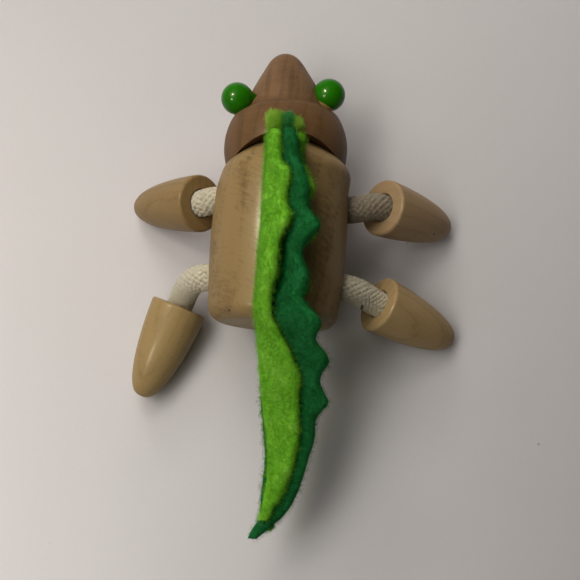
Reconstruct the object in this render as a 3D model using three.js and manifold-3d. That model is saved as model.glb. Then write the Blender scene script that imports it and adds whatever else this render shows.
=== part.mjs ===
// Posable wooden crocodile figure: turned barrel body, turned head, four bullet feet on
// cotton rope legs, bead eyes and a three-layer felt crest that runs on as the tail.
// Millimetres, +Z up, +Y towards the snout, +X to the figure's right, resting on z = 0.
import * as THREE from 'three';
import { mergeVertices } from 'three/addons/utils/BufferGeometryUtils.js';
import Module from 'manifold-3d';

// ---------- driving dimensions ----------
const AXIS_Z = 25.5;          // height of the barrel's axis
const BARREL_R = 19.4;        // barrel's largest radius
const BARREL_END_R = 18.4;    // radius at the shoulder and before the rear rounding
const REAR_Y = -27;           // flat rear face
const DOME_Y = 4;             // centre of the front dome
const DOME_R = 23;            // radius of the front dome
const REAR_ROUND = 4.6;       // rounding of the rear edge
const ROPE_R = 3.9;           // leg and neck rope
const BORE_R = 4.2;           // bores for the rope
const BORE_Z = 22.8;            // height of both leg bores
const FRONT_BORE_Y = 8.7;
const REAR_BORE_Y = -14.1;
const SIDE_SHIFT = -1.35;     // the turned sides stand this far off the dome's axis
const SLOT_X = -1.15;         // middle of the crest slot
const SLOT_W = 10.4;          // width of the crest slot
const SLOT_FLOOR_Z = 39.8;    // floor of the crest slot in the barrel
const FELT_T = 3.0;           // thickness of one felt layer
const FELT_PITCH = 3.3;       // spacing of the felt layers
const HEAD_R = 18.0;          // radius of the head's bulge
const HEAD_AT = [-1.4, 25.1, 23.0]; // centre of the bulge
const HEAD_YAW = 4.4;         // degrees, towards the figure's left
const HEAD_PITCH = 4.5;       // degrees, snout down
const COPE_R = 21.8;          // upright concave cut in the back of the head
const COPE_BALL_R = 23.5;     // ball-shaped hollow in its middle that clears the dome
const EYE_R = 4.7;
const EYE_PEG_R = 1.5;
const FOOT_D = 16.8;          // flat face of a foot
const FOOT_L = 29.0;          // length of a foot
const FOOT_BORE = 8.5;        // depth of the rope hole in a foot

// each leg: flat face centre (x, y), direction of the tip in plan, angle of the tip below level
const LEGS = {
  front_left: { side: -1, boreY: FRONT_BORE_Y, flat: [-24.7, 7.8], plan: 175.4, down: 43, out: 0.42, into: 0.28 },
  front_right: { side: 1, boreY: FRONT_BORE_Y, flat: [27.95, 10.9], plan: -2.2, down: 40.3, out: 0.35, into: 0.35 },
  rear_left: { side: -1, boreY: REAR_BORE_Y, flat: [-29.65, -21.35], plan: -108.6, down: 5, out: 0.62, into: 0.42 },
  rear_right: { side: 1, boreY: REAR_BORE_Y, flat: [28.9, -17.0], plan: -17.7, down: 28.8, out: 0.4, into: 0.35 },
};

const wasm = await Module();
wasm.setup();
const rad = (d) => (d * Math.PI) / 180;
const V = (x, y, z) => new THREE.Vector3(x, y, z);

// ---------- materials ----------
const paint = (color, roughness) => new THREE.MeshStandardMaterial({ color, roughness, metalness: 0 });
const BODY_WOOD = 0xc9a97b;
const HEAD_WOOD = 0xa37b5a;
const FOOT_WOOD = 0xc8a574;
const ROPE = 0xe9e0cc;
const LIGHT_FELT = 0x6fb52c;
const DARK_FELT = 0x16703a;
const EYE_GREEN = 0x2c7a10;

// ---------- helpers ----------
const toSolid = (geometry) => {
  const g = geometry.clone();
  g.deleteAttribute('normal');
  g.deleteAttribute('uv');
  const m = mergeVertices(g, 1e-4);
  const ix = m.index.array;
  const tri = [];
  for (let i = 0; i < ix.length; i += 3) {
    const [a, b, c] = [ix[i], ix[i + 1], ix[i + 2]];
    if (a !== b && b !== c && c !== a) tri.push(a, b, c);
  }
  return new wasm.Manifold(new wasm.Mesh({
    numProp: 3,
    vertProperties: new Float32Array(m.attributes.position.array),
    triVerts: new Uint32Array(tri),
  }));
};
const fromSolid = (solid) => {
  const mesh = solid.getMesh();
  const g = new THREE.BufferGeometry();
  const p = new Float32Array(mesh.numVert * 3);
  for (let i = 0; i < mesh.numVert; i++) {
    for (let k = 0; k < 3; k++) p[3 * i + k] = mesh.vertProperties[i * mesh.numProp + k];
  }
  g.setAttribute('position', new THREE.BufferAttribute(p, 3));
  g.setIndex(new THREE.BufferAttribute(new Uint32Array(mesh.triVerts), 1));
  g.computeVertexNormals();
  return g;
};
const lathe = (points, segments = 48) => new THREE.LatheGeometry(points.map(([r, y]) => new THREE.Vector2(r, y)), segments);
const place = (g, at, direction) => {
  const q = new THREE.Quaternion().setFromUnitVectors(V(0, 1, 0), direction.clone().normalize());
  g.applyQuaternion(q);
  g.translate(at.x, at.y, at.z);
  return g;
};
const rod = (from, to, radius, segments = 24) => {
  const d = to.clone().sub(from);
  return place(new THREE.CylinderGeometry(radius, radius, d.length(), segments), from.clone().addScaledVector(d, 0.5), d);
};
const ball = (at, r, w = 28, h = 18) => new THREE.SphereGeometry(r, w, h).translate(at.x, at.y, at.z);
const block = (x0, x1, y0, y1, z0, z1) => new THREE.BoxGeometry(x1 - x0, y1 - y0, z1 - z0).translate((x0 + x1) / 2, (y0 + y1) / 2, (z0 + z1) / 2);
const through = (points) => new THREE.CatmullRomCurve3(points, false, 'centripetal');
const sweep = (curve, radius, steps = 16, sides = 20) => {
  const shape = new THREE.Shape();
  for (let i = 0; i < sides; i++) {
    const a = (2 * Math.PI * i) / sides;
    const p = [radius * Math.cos(a), radius * Math.sin(a)];
    if (i) shape.lineTo(...p); else shape.moveTo(...p);
  }
  shape.closePath();
  return new THREE.ExtrudeGeometry(shape, { steps, bevelEnabled: false, extrudePath: curve });
};

const root = new THREE.Group();
root.name = 'crocodile_figure';
const add = (name, geometry, color, roughness = 0.6) => {
  const mesh = new THREE.Mesh(geometry, paint(color, roughness));
  mesh.name = name;
  root.add(mesh);
  return mesh;
};

// ---------- barrel body ----------
const barrelProfile = [[0, REAR_Y]];
barrelProfile.push([BARREL_END_R - REAR_ROUND, REAR_Y]);
for (let i = 1; i <= 6; i++) {
  const a = rad(15 * i);
  barrelProfile.push([BARREL_END_R - REAR_ROUND + REAR_ROUND * Math.sin(a), REAR_Y + REAR_ROUND - REAR_ROUND * Math.cos(a)]);
}
const shoulderY = DOME_Y + Math.sqrt(DOME_R ** 2 - BARREL_END_R ** 2);
for (let i = 1; i <= 9; i++) {
  const t = i / 10;
  const y = REAR_Y + REAR_ROUND + (shoulderY - REAR_Y - REAR_ROUND) * t;
  barrelProfile.push([BARREL_END_R + (BARREL_R - BARREL_END_R) * Math.sin(Math.PI * t), y]);
}
const domeStart = Math.atan2(shoulderY - DOME_Y, BARREL_END_R);
for (let i = 0; i < 12; i++) {
  const a = domeStart + ((Math.PI / 2 - domeStart) * i) / 12;
  barrelProfile.push([DOME_R * Math.cos(a), DOME_Y + DOME_R * Math.sin(a)]);
}
barrelProfile.push([0, DOME_Y + DOME_R]);
const sideShift = (y) => {
  const t = Math.min(1, Math.max(0, (y - 10) / 11));
  return SIDE_SHIFT * (1 - t * t * (3 - 2 * t));
};
const barrelTurned = lathe(barrelProfile, 72).translate(0, 0, AXIS_Z);
const turned = barrelTurned.attributes.position;
for (let i = 0; i < turned.count; i++) turned.setX(i, turned.getX(i) + sideShift(turned.getY(i)));
let barrel = toSolid(barrelTurned);
const slot = toSolid(block(SLOT_X - SLOT_W / 2, SLOT_X + SLOT_W / 2, -40, 40, SLOT_FLOOR_Z, 60));
const NECK_Z = 23.1;
const neckBore = toSolid(rod(V(-0.5, 15.5, NECK_Z), V(-0.5, 30, NECK_Z), BORE_R));
barrel = barrel.subtract(slot)
  .subtract(toSolid(rod(V(-30, FRONT_BORE_Y, BORE_Z), V(30, FRONT_BORE_Y, BORE_Z), BORE_R)))
  .subtract(toSolid(rod(V(-30, REAR_BORE_Y, BORE_Z), V(30, REAR_BORE_Y, BORE_Z), BORE_R)))
  .subtract(neckBore);
add('barrel_body', fromSolid(barrel), BODY_WOOD, 0.45);

// ---------- head ----------
const headFrame = new THREE.Matrix4().makeTranslation(...HEAD_AT)
  .multiply(new THREE.Matrix4().makeRotationZ(rad(HEAD_YAW)))
  .multiply(new THREE.Matrix4().makeRotationX(rad(-HEAD_PITCH)));
const inHead = (x, y, z) => V(x, y, z).applyMatrix4(headFrame);
const headProfile = [[0, -HEAD_R]];
for (let i = 1; i <= 19; i++) {
  const a = rad(-90 + (118.7 * i) / 19);
  headProfile.push([HEAD_R * Math.cos(a), HEAD_R * Math.sin(a)]);
}
headProfile.push([14.5, 9.9], [13.2, 10.9], [12.2, 11.35], [11.75, 12.3], [11.3, 14.2], [10.6, 16.4], [9.6, 18.7],
  [8.3, 21.2], [6.9, 23.7], [5.6, 25.9], [4.6, 27.5], [3.4, 28.8], [1.9, 29.7], [0, 30.1]);
let head = toSolid(lathe(headProfile, 64).applyMatrix4(headFrame));
const cope = toSolid(rod(V(0, DOME_Y, 0), V(0, DOME_Y, 60), COPE_R, 96)).add(toSolid(ball(V(0, DOME_Y, AXIS_Z), COPE_BALL_R, 72, 48)));
const HEAD_SLOT_FLOOR = 13.2;  // above the bulge's centre
const headSlot = toSolid(block(-0.9 - SLOT_W / 2, -0.9 + SLOT_W / 2, -25, 6.3, HEAD_SLOT_FLOOR, 30).applyMatrix4(headFrame));
const eyeSpots = { left: inHead(-14.1, 14.2, 4.6), right: inHead(12.65, 15.4, 4.6) };
head = head.subtract(cope).subtract(headSlot)
  .subtract(toSolid(rod(V(-0.35, 24, NECK_Z + 0.1), V(-1.3, 36.5, NECK_Z - 0.4), BORE_R)));
const pegAims = { left: inHead(0, 14.5, 2.2), right: inHead(0, 9.5, 1.6) };
for (const side of ['left', 'right']) {
  const at = eyeSpots[side];
  const inward = pegAims[side].clone().sub(at).normalize();
  head = head.subtract(toSolid(ball(at, EYE_R + 0.3)))
    .subtract(toSolid(rod(at, at.clone().addScaledVector(inward, 8.2), EYE_PEG_R + 0.3, 20)));
}
add('head_block', fromSolid(head), HEAD_WOOD, 0.5);
for (const side of ['left', 'right']) {
  const at = eyeSpots[side];
  const inward = pegAims[side].clone().sub(at).normalize();
  const eye = toSolid(ball(at, EYE_R)).add(toSolid(rod(at, at.clone().addScaledVector(inward, 7.8), EYE_PEG_R, 20)));
  add(`eye_${side}`, fromSolid(eye), EYE_GREEN, 0.15);
}

// ---------- neck ----------
add('neck_cord', fromSolid(toSolid(sweep(through([V(-0.5, 16, NECK_Z), V(-0.5, 21, NECK_Z), V(-0.55, 25.5, NECK_Z), V(-0.85, 30.5, NECK_Z - 0.12), V(-1.25, 35.9, NECK_Z - 0.37)]), ROPE_R))), ROPE, 0.9);

// ---------- feet and leg ropes ----------
const footProfile = (() => {
  const r = FOOT_D / 2;
  const bullet = (t) => r * Math.max(0, 1 - (t / FOOT_L) ** 1.58) ** 0.38;
  const outer = [1.4, 4, 8, 12, 16, 19, 22, 24.3, 26.2, 27.6, 28.5].map((t) => [bullet(t), t]);
  return [[0, FOOT_BORE], [BORE_R, FOOT_BORE], [BORE_R, 0], [r - 0.9, 0], [r - 0.25, 0.45], ...outer, [0, FOOT_L]];
})();
const ropeMiddle = (name, y) => add(name, fromSolid(toSolid(rod(V(-13.6, y, BORE_Z), V(13.6, y, BORE_Z), ROPE_R))), ROPE, 0.9);
ropeMiddle('front_rope_middle', FRONT_BORE_Y);
ropeMiddle('rear_rope_middle', REAR_BORE_Y);
for (const [name, leg] of Object.entries(LEGS)) {
  const p = rad(leg.plan);
  const d = rad(leg.down);
  const dir = V(Math.cos(p) * Math.cos(d), Math.sin(p) * Math.cos(d), -Math.sin(d));
  // height of the flat's centre that lets the lowest point of the foot meet z = 0
  const z = Math.max(...footProfile.map(([r, t]) => t * Math.sin(d) + r * Math.cos(d)));
  const flat = V(leg.flat[0], leg.flat[1], z);
  add(`foot_${name}`, fromSolid(toSolid(place(lathe(footProfile, 48), flat, dir))), FOOT_WOOD, 0.45);
  // the end that is glued in the foot
  add(`${name}_rope_end`, fromSolid(toSolid(rod(flat.clone().addScaledVector(dir, 0.3), flat.clone().addScaledVector(dir, FOOT_BORE - 0.3), ROPE_R, 20))), ROPE, 0.9);
  // the free length between the bore's mouth and the foot
  const a = V(leg.side * 13.9, leg.boreY, BORE_Z);
  const b = V(leg.side * 18.6 + SIDE_SHIFT, leg.boreY, BORE_Z);
  const c = flat.clone().addScaledVector(dir, -0.4);
  const reach = b.distanceTo(c);
  const path = new THREE.CurvePath();
  path.add(new THREE.LineCurve3(a, b));
  path.add(new THREE.CubicBezierCurve3(b, b.clone().add(V(leg.side * reach * leg.out, 0, 0)), c.clone().addScaledVector(dir, -reach * leg.into), c));
  add(`${name}_rope_free`, fromSolid(toSolid(sweep(path, ROPE_R))), ROPE, 0.9);
}

// ---------- felt ----------
// A layer is lofted through stations; each gives y and a three-point path [x, z] up the layer.
const felt = (name, stations, color) => {
  const h = FELT_T / 2;
  const pos = [];
  const norm2 = (a, b) => { const dx = b[0] - a[0]; const dz = b[1] - a[1]; const l = Math.hypot(dx, dz); return [dz / l, -dx / l]; };
  for (const [y, c0, c1, c2] of stations) {
    const n0 = norm2(c0, c1);
    const n1 = norm2(c1, c2);
    const m = [(n0[0] + n1[0]) / 2, (n0[1] + n1[1]) / 2];
    const ml = m[0] * m[0] + m[1] * m[1];
    const mid = [m[0] / ml, m[1] / ml];
    const ring = [[c0, n0, -h], [c1, mid, -h], [c2, n1, -h], [c2, n1, h], [c1, mid, h], [c0, n0, h]];
    for (const [c, n, s] of ring) pos.push(c[0] + n[0] * s, y, c[1] + n[1] * s);
  }
  const tri = [];
  const n = stations.length;
  for (let i = 0; i + 1 < n; i++) {
    for (let k = 0; k < 6; k++) {
      const a = i * 6 + k; const b = i * 6 + ((k + 1) % 6); const c = a + 6; const d = b + 6;
      tri.push(a, b, d, a, d, c);
    }
  }
  const cap = (o, flip) => { for (const t of [[0, 1, 5], [1, 4, 5], [1, 2, 4], [2, 3, 4]]) tri.push(...(flip ? [o + t[0], o + t[2], o + t[1]] : [o + t[0], o + t[1], o + t[2]])); };
  cap(0, true);
  cap((n - 1) * 6, false);
  // outward faces: measure the enclosed volume and turn the faces round if it is negative
  let vol = 0;
  for (let i = 0; i < tri.length; i += 3) {
    const [a, b, c] = [tri[i], tri[i + 1], tri[i + 2]].map((k) => V(pos[3 * k], pos[3 * k + 1], pos[3 * k + 2]));
    vol += a.dot(b.cross(c));
  }
  if (vol < 0) for (let i = 0; i < tri.length; i += 3) [tri[i + 1], tri[i + 2]] = [tri[i + 2], tri[i + 1]];
  const g = new THREE.BufferGeometry();
  g.setAttribute('position', new THREE.BufferAttribute(new Float32Array(pos), 3));
  g.setIndex(tri);
  g.computeVertexNormals();
  add(name, g, color, 0.95);
};
// each station of a layer: y, then x, z of its foot, its knee and its top edge
const FELT_STATIONS = {
  back_crest_left: [
    [22.0, -4.68, 40.6, -4.68, 48.0, -3.78, 52.03],
    [19.5, -4.66, 40.6, -4.65, 48.0, -3.35, 52.59],
    [16.8, -4.63, 40.6, -4.63, 48.0, -3.09, 52.11],
    [14.0, -4.6, 40.6, -4.59, 48.0, -2.57, 52.13],
    [11.8, -4.59, 40.6, -4.57, 48.0, -0.84, 54.54],
    [8.8, -4.57, 40.6, -4.55, 48.0, 0.28, 55.18],
    [6.4, -4.55, 40.6, -4.53, 48.0, 0.15, 54.29],
    [3.0, -4.52, 40.6, -4.5, 48.0, -0.17, 53.65],
    [-1.0, -4.48, 40.6, -4.46, 48.0, 1.07, 55.69],
    [-4.6, -4.44, 40.6, -4.43, 48.0, 0.2, 56.28],
    [-8.0, -4.42, 40.6, -4.41, 48.0, -1.51, 55.7],
    [-12.0, -4.39, 40.6, -4.38, 48.0, -1.89, 57.11],
    [-15.5, -4.36, 40.6, -4.35, 48.0, -2.12, 56.92],
    [-18.5, -4.33, 40.6, -4.32, 48.0, -2.62, 55.39],
    [-21.5, -4.31, 40.6, -4.3, 48.0, -3.09, 53.59],
    [-25.0, -4.3, 40.67, -4.11, 48.07, -2.92, 52.96],
    [-28.8, -4.26, 41.01, -2.52, 48.22, -1.3, 51.32],
  ],
  back_crest_middle: [
    [22.0, -1.38, 40.6, -1.38, 47.2, 0.04, 53.53],
    [18.7, -1.35, 40.6, -1.35, 47.2, 1.07, 54.95],
    [14.0, -1.3, 40.6, -1.29, 47.2, 2.37, 54.07],
    [9.1, -1.27, 40.6, -1.25, 47.2, 4.65, 55.16],
    [6.2, -1.25, 40.6, -1.23, 47.2, 5.44, 55.03],
    [2.4, -1.21, 40.6, -1.19, 47.2, 5.51, 54.37],
    [-1.4, -1.17, 40.6, -1.15, 47.2, 7.72, 55.97],
    [-4.1, -1.15, 40.6, -1.13, 47.2, 9.03, 56.93],
    [-7.1, -1.13, 40.6, -1.11, 47.2, 6.58, 54.71],
    [-10.0, -1.1, 40.6, -1.08, 47.2, 4.87, 53.18],
    [-13.7, -1.07, 40.6, -1.05, 47.2, 5.93, 54.26],
    [-17.0, -1.04, 40.6, -1.02, 47.2, 7.09, 55.24],
    [-19.5, -1.02, 40.6, -1.0, 47.2, 6.68, 54.52],
    [-22.0, -1.01, 40.6, -0.98, 47.2, 6.13, 53.65],
    [-24.8, -1.0, 40.59, -0.84, 47.19, 8.0, 54.7],
    [-27.6, -1.02, 40.45, -0.08, 46.98, 10.8, 55.65],
    [-28.8, -1.06, 40.23, 0.51, 46.66, 11.1, 54.87],
  ],
  back_crest_right: [
    [22.0, 1.92, 40.6, 1.92, 45.6, 2.81, 49.62],
    [19.0, 1.94, 40.6, 1.95, 45.6, 2.93, 48.87],
    [16.0, 1.97, 40.6, 1.99, 45.6, 2.94, 47.88],
    [11.8, 2.01, 40.6, 2.03, 45.6, 4.84, 50.1],
    [6.8, 2.05, 40.6, 2.07, 45.6, 6.88, 51.41],
    [3.2, 2.08, 40.6, 2.1, 45.6, 5.15, 48.96],
    [-0.7, 2.12, 40.6, 2.14, 45.6, 7.29, 50.8],
    [-4.1, 2.15, 40.6, 2.17, 45.6, 8.63, 51.81],
    [-7.1, 2.17, 40.6, 2.19, 45.6, 6.02, 49.37],
    [-10.0, 2.2, 40.6, 2.22, 45.6, 4.35, 47.8],
    [-13.2, 2.22, 40.6, 2.24, 45.6, 5.56, 49.0],
    [-18.0, 2.26, 40.6, 2.28, 45.6, 7.45, 50.68],
    [-20.2, 2.28, 40.6, 2.3, 45.6, 6.89, 49.94],
    [-22.6, 2.3, 40.59, 2.33, 45.59, 5.36, 48.35],
    [-25.2, 2.3, 40.49, 2.46, 45.49, 6.51, 48.94],
    [-28.8, 2.15, 39.46, 3.35, 44.33, 9.82, 49.38],
  ],
  tail_left: [
    [-29.25, -4.25, 41.01, -2.21, 48.17, -0.96, 51.12],
    [-33.6, -4.06, 40.15, 0.56, 46.39, 2.38, 48.64],
    [-37.4, -3.62, 39.04, 1.87, 44.32, 4.76, 46.82],
    [-42.0, -3.08, 37.33, 2.92, 41.82, 7.18, 44.61],
    [-45.6, -2.52, 35.92, 3.63, 39.87, 7.19, 41.94],
    [-50.0, -1.82, 34.11, 4.43, 37.62, 7.65, 39.31],
    [-56.8, -0.51, 31.85, 5.11, 34.75, 8.16, 36.25],
    [-62.2, 0.29, 30.21, 5.26, 32.68, 7.79, 33.88],
    [-67.7, 0.64, 28.45, 5.3, 30.73, 6.91, 31.48],
    [-72.4, 0.39, 26.91, 4.14, 28.77, 5.38, 29.39],
    [-76.5, -0.0, 25.69, 2.17, 26.82, 2.89, 27.2],
    [-80.2, -0.9, 24.5, 0.52, 25.28, 0.99, 25.54],
  ],
  tail_middle: [
    [-29.25, -1.08, 40.1, 0.75, 46.49, 11.1, 54.44],
    [-31.9, -1.36, 38.85, 2.12, 44.94, 10.17, 50.83],
    [-34.6, -1.71, 37.43, 3.01, 43.13, 12.29, 49.54],
    [-37.4, -2.01, 36.01, 3.58, 41.39, 14.25, 48.3],
    [-41.5, -2.35, 33.97, 4.19, 38.98, 12.53, 43.98],
    [-44.5, -2.54, 32.49, 4.59, 37.27, 13.38, 42.25],
    [-47.7, -2.48, 31.04, 5.03, 35.51, 15.29, 41.05],
    [-51.5, -2.1, 29.47, 5.55, 33.64, 12.75, 37.35],
    [-55.0, -1.48, 28.34, 5.83, 32.16, 12.4, 35.44],
    [-58.9, -0.73, 27.23, 5.97, 30.63, 12.34, 33.73],
    [-65.8, -0.26, 24.97, 6.03, 28.05, 10.91, 30.33],
    [-70.8, -0.38, 23.31, 6.01, 26.44, 9.71, 28.18],
    [-75.9, -0.42, 21.89, 5.72, 25.06, 7.78, 26.09],
    [-79.9, -0.65, 20.92, 3.66, 23.29, 5.1, 24.08],
    [-83.3, -1.95, 19.71, 0.86, 21.33, 1.8, 21.87],
    [-86.0, -3.31, 18.62, -1.4, 19.77, -0.77, 20.15],
  ],
  tail_right: [
    [-29.25, 2.1, 39.21, 3.49, 44.05, 10.05, 49.12],
    [-31.5, 1.68, 37.64, 4.12, 42.25, 9.1, 45.95],
    [-34.6, 1.04, 35.57, 4.54, 39.79, 11.59, 44.67],
    [-37.6, 0.62, 33.87, 4.73, 37.77, 13.47, 43.41],
    [-41.6, 0.29, 31.79, 4.93, 35.33, 11.46, 39.23],
    [-45.0, 0.14, 30.08, 5.13, 33.35, 12.68, 37.6],
    [-48.2, 0.38, 28.65, 5.39, 31.6, 14.67, 36.57],
    [-52.6, 0.96, 26.88, 5.82, 29.48, 11.6, 32.43],
    [-58.0, 1.45, 24.98, 6.03, 27.31, 11.42, 29.95],
    [-63.5, 1.51, 22.97, 6.04, 25.21, 10.3, 27.21],
    [-70.0, 1.39, 20.74, 6.03, 23.01, 8.92, 24.37],
    [-76.2, 1.22, 18.96, 5.65, 21.25, 7.13, 21.99],
    [-80.5, 0.94, 17.92, 3.67, 19.44, 4.58, 19.94],
    [-83.6, 0.57, 17.32, 1.76, 18.01, 2.16, 18.24],
  ],
};
for (const [name, rows] of Object.entries(FELT_STATIONS)) {
  felt(name, rows.map(([y, x0, z0, x1, z1, x2, z2]) => [y, [x0, z0], [x1, z1], [x2, z2]]), name.endsWith('middle') ? DARK_FELT : LIGHT_FELT);
}
// short crest in the head's slot
const headCrest = { left: [17.6, 19.0, 0], middle: [18.2, 20.2, 0.3], right: [17.2, 18.4, 0.5] };
for (const [i, key] of ['left', 'middle', 'right'].entries()) {
  const [low, high, lean] = headCrest[key];
  const x = -0.9 + (i - 1) * FELT_PITCH;
  const rows = [-0.2, 1.8, 3.8, 5.8].map((t, k) => {
    const top = [high, high - 0.1, high - 0.6, low - 1.2][k];
    return [t, [x, HEAD_SLOT_FLOOR + 0.3], [x, 17.2 - (k === 3 ? 1.2 : 0)], [x + lean, top]];
  });
  // built in the head's own frame, then carried into place
  const before = root.children.length;
  felt(`head_crest_${key}`, rows, key === 'middle' ? DARK_FELT : LIGHT_FELT);
  root.children[before].geometry.applyMatrix4(headFrame);
}

// ---------- origin: middle of the base of the bounding box ----------
const extent = new THREE.Box3();
for (const m of root.children) {
  m.geometry.computeBoundingBox();
  extent.union(m.geometry.boundingBox);
}
const middle = extent.getCenter(V(0, 0, 0));
for (const m of root.children) m.geometry.translate(-middle.x, -middle.y, -extent.min.z);

export default root;
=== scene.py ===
import math
import random
import bpy
import numpy as np
from mathutils import Vector, Matrix, noise


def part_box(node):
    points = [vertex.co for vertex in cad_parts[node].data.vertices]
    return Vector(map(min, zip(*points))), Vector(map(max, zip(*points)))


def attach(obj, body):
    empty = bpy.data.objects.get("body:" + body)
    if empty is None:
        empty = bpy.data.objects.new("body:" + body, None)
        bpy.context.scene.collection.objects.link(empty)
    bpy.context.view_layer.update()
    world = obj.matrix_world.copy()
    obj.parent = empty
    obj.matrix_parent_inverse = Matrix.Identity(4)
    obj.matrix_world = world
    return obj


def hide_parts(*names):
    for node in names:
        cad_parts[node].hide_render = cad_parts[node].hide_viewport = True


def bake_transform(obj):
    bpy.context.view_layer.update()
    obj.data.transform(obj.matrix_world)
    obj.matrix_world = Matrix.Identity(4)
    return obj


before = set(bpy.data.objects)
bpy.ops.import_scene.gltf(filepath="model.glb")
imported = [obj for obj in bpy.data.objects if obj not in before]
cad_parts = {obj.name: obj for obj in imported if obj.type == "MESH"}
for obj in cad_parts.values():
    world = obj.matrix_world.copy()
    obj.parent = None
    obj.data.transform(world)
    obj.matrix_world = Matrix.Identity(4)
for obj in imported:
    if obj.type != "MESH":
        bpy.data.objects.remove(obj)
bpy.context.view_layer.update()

# ---------------------------------------------------------------- frame of reference
# Shapes are written in millimetres: the dome of the barrel is turned about x = 0 and its rear face is at y = -27.
# The rope through the front bore is centred at x = 0, y = 8.7 in that frame.
_mlo, _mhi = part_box("front_rope_middle")
SX = (_mlo.x + _mhi.x) / 2
SY = (_mlo.y + _mhi.y) / 2 - 0.0087
AXIS_Z = 25.5


def W(x, y, z):
    return (x / 1000 + SX, y / 1000 + SY, z / 1000)


def to_world(a):
    a = np.asarray(a, float) / 1000
    return a + np.array([SX, SY, 0.0])


# ---------------------------------------------------------------- mesh helpers
def link(o):
    bpy.context.scene.collection.objects.link(o)
    return o


def mesh_object(name, verts, faces, smooth=True, sharp=None):
    me = bpy.data.meshes.new(name)
    me.from_pydata([tuple(v) for v in verts], [], [tuple(int(i) for i in f) for f in faces])
    me.validate()
    me.update()
    o = link(bpy.data.objects.new(name, me))
    if smooth:
        me.shade_smooth()
        if sharp:
            me.set_sharp_from_angle(angle=math.radians(sharp))
    return o


def lathe_arrays(profile, segments):
    """Closed profile from axis to axis; turned about local Y. Returns verts, faces."""
    verts, faces, rings = [], [], []
    for r, y in profile:
        if r < 1e-6:
            rings.append([len(verts)])
            verts.append((0.0, y, 0.0))
        else:
            ring = []
            for k in range(segments):
                a = 2 * math.pi * k / segments
                ring.append(len(verts))
                verts.append((r * math.sin(a), y, r * math.cos(a)))
            rings.append(ring)
    for a, b in zip(rings, rings[1:]):
        for k in range(segments):
            n = (k + 1) % segments
            if len(a) == 1 and len(b) == 1:
                continue
            if len(a) == 1:
                faces.append((a[0], b[n], b[k]))
            elif len(b) == 1:
                faces.append((a[k], a[n], b[0]))
            else:
                faces.append((a[k], a[n], b[n], b[k]))
    return verts, faces


def fix_normals(o):
    import bmesh
    bm = bmesh.new()
    bm.from_mesh(o.data)
    bmesh.ops.recalc_face_normals(bm, faces=bm.faces)
    bm.to_mesh(o.data)
    bm.free()


def resample(points, step):
    """Even points along a polyline through a centripetal Catmull-Rom."""
    p = [np.array(q, float) for q in points]
    p = [2 * p[0] - p[1]] + p + [2 * p[-1] - p[-2]]
    out = []
    for i in range(1, len(p) - 2):
        p0, p1, p2, p3 = p[i - 1], p[i], p[i + 1], p[i + 2]
        n = max(1, int(np.linalg.norm(p2 - p1) / step))
        t = [0, 0, 0, 0]
        for k, (a, b) in enumerate(((p0, p1), (p1, p2), (p2, p3))):
            t[k + 1] = t[k] + max(1e-6, np.linalg.norm(b - a) ** 0.5)
        for j in range(n):
            u = t[1] + (t[2] - t[1]) * j / n
            A1 = (t[1] - u) / (t[1] - t[0]) * p0 + (u - t[0]) / (t[1] - t[0]) * p1
            A2 = (t[2] - u) / (t[2] - t[1]) * p1 + (u - t[1]) / (t[2] - t[1]) * p2
            A3 = (t[3] - u) / (t[3] - t[2]) * p2 + (u - t[2]) / (t[3] - t[2]) * p3
            B1 = (t[2] - u) / (t[2] - t[0]) * A1 + (u - t[0]) / (t[2] - t[0]) * A2
            B2 = (t[3] - u) / (t[3] - t[1]) * A2 + (u - t[1]) / (t[3] - t[1]) * A3
            out.append((t[2] - u) / (t[2] - t[1]) * B1 + (u - t[1]) / (t[2] - t[1]) * B2)
    out.append(p[-2])
    return out


def cylinder(name, a, b, r, segments=96, r2=None):
    a, b = Vector(a), Vector(b)
    d = b - a
    q = d.to_track_quat("Y", "Z")
    L = d.length
    v, f = lathe_arrays([(0, 0), (r, 0), (r2 if r2 is not None else r, L), (0, L)], segments)
    v = [q @ Vector(p) + a for p in v]
    o = mesh_object(name, v, f, smooth=False)
    fix_normals(o)
    return o


def sphere(name, c, r, u=96, w=64):
    prof = [(r * math.sin(math.pi * i / w), -r * math.cos(math.pi * i / w)) for i in range(w + 1)]
    prof[0] = (0, -r)
    prof[-1] = (0, r)
    v, f = lathe_arrays(prof, u)
    o = mesh_object(name, [(p[0] + c[0], p[1] + c[1], p[2] + c[2]) for p in v], f, smooth=False)
    fix_normals(o)
    return o


def carve(o, cutters, operation="DIFFERENCE"):
    for c in cutters:
        m = o.modifiers.new("cut", "BOOLEAN")
        m.operation = operation
        m.solver = "EXACT"
        m.object = c
    bpy.context.view_layer.update()
    dg = bpy.context.evaluated_depsgraph_get()
    me = bpy.data.meshes.new_from_object(o.evaluated_get(dg))
    o.modifiers.clear()
    old = o.data
    o.data = me
    bpy.data.meshes.remove(old)
    for c in cutters:
        m = c.data
        bpy.data.objects.remove(c)
        bpy.data.meshes.remove(m)


def finish_wood(o, angle=28):
    o.data.transform(Matrix.Scale(0.001, 4))
    o.data.transform(Matrix.Translation((SX, SY, 0)))
    o.data.shade_smooth()
    o.data.set_sharp_from_angle(angle=math.radians(angle))


# ---------------------------------------------------------------- material helpers
def srgb(r, g, b):
    def f(c):
        c /= 255
        return c / 12.92 if c <= 0.04045 else ((c + 0.055) / 1.055) ** 2.4
    return (f(r), f(g), f(b), 1.0)


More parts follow.
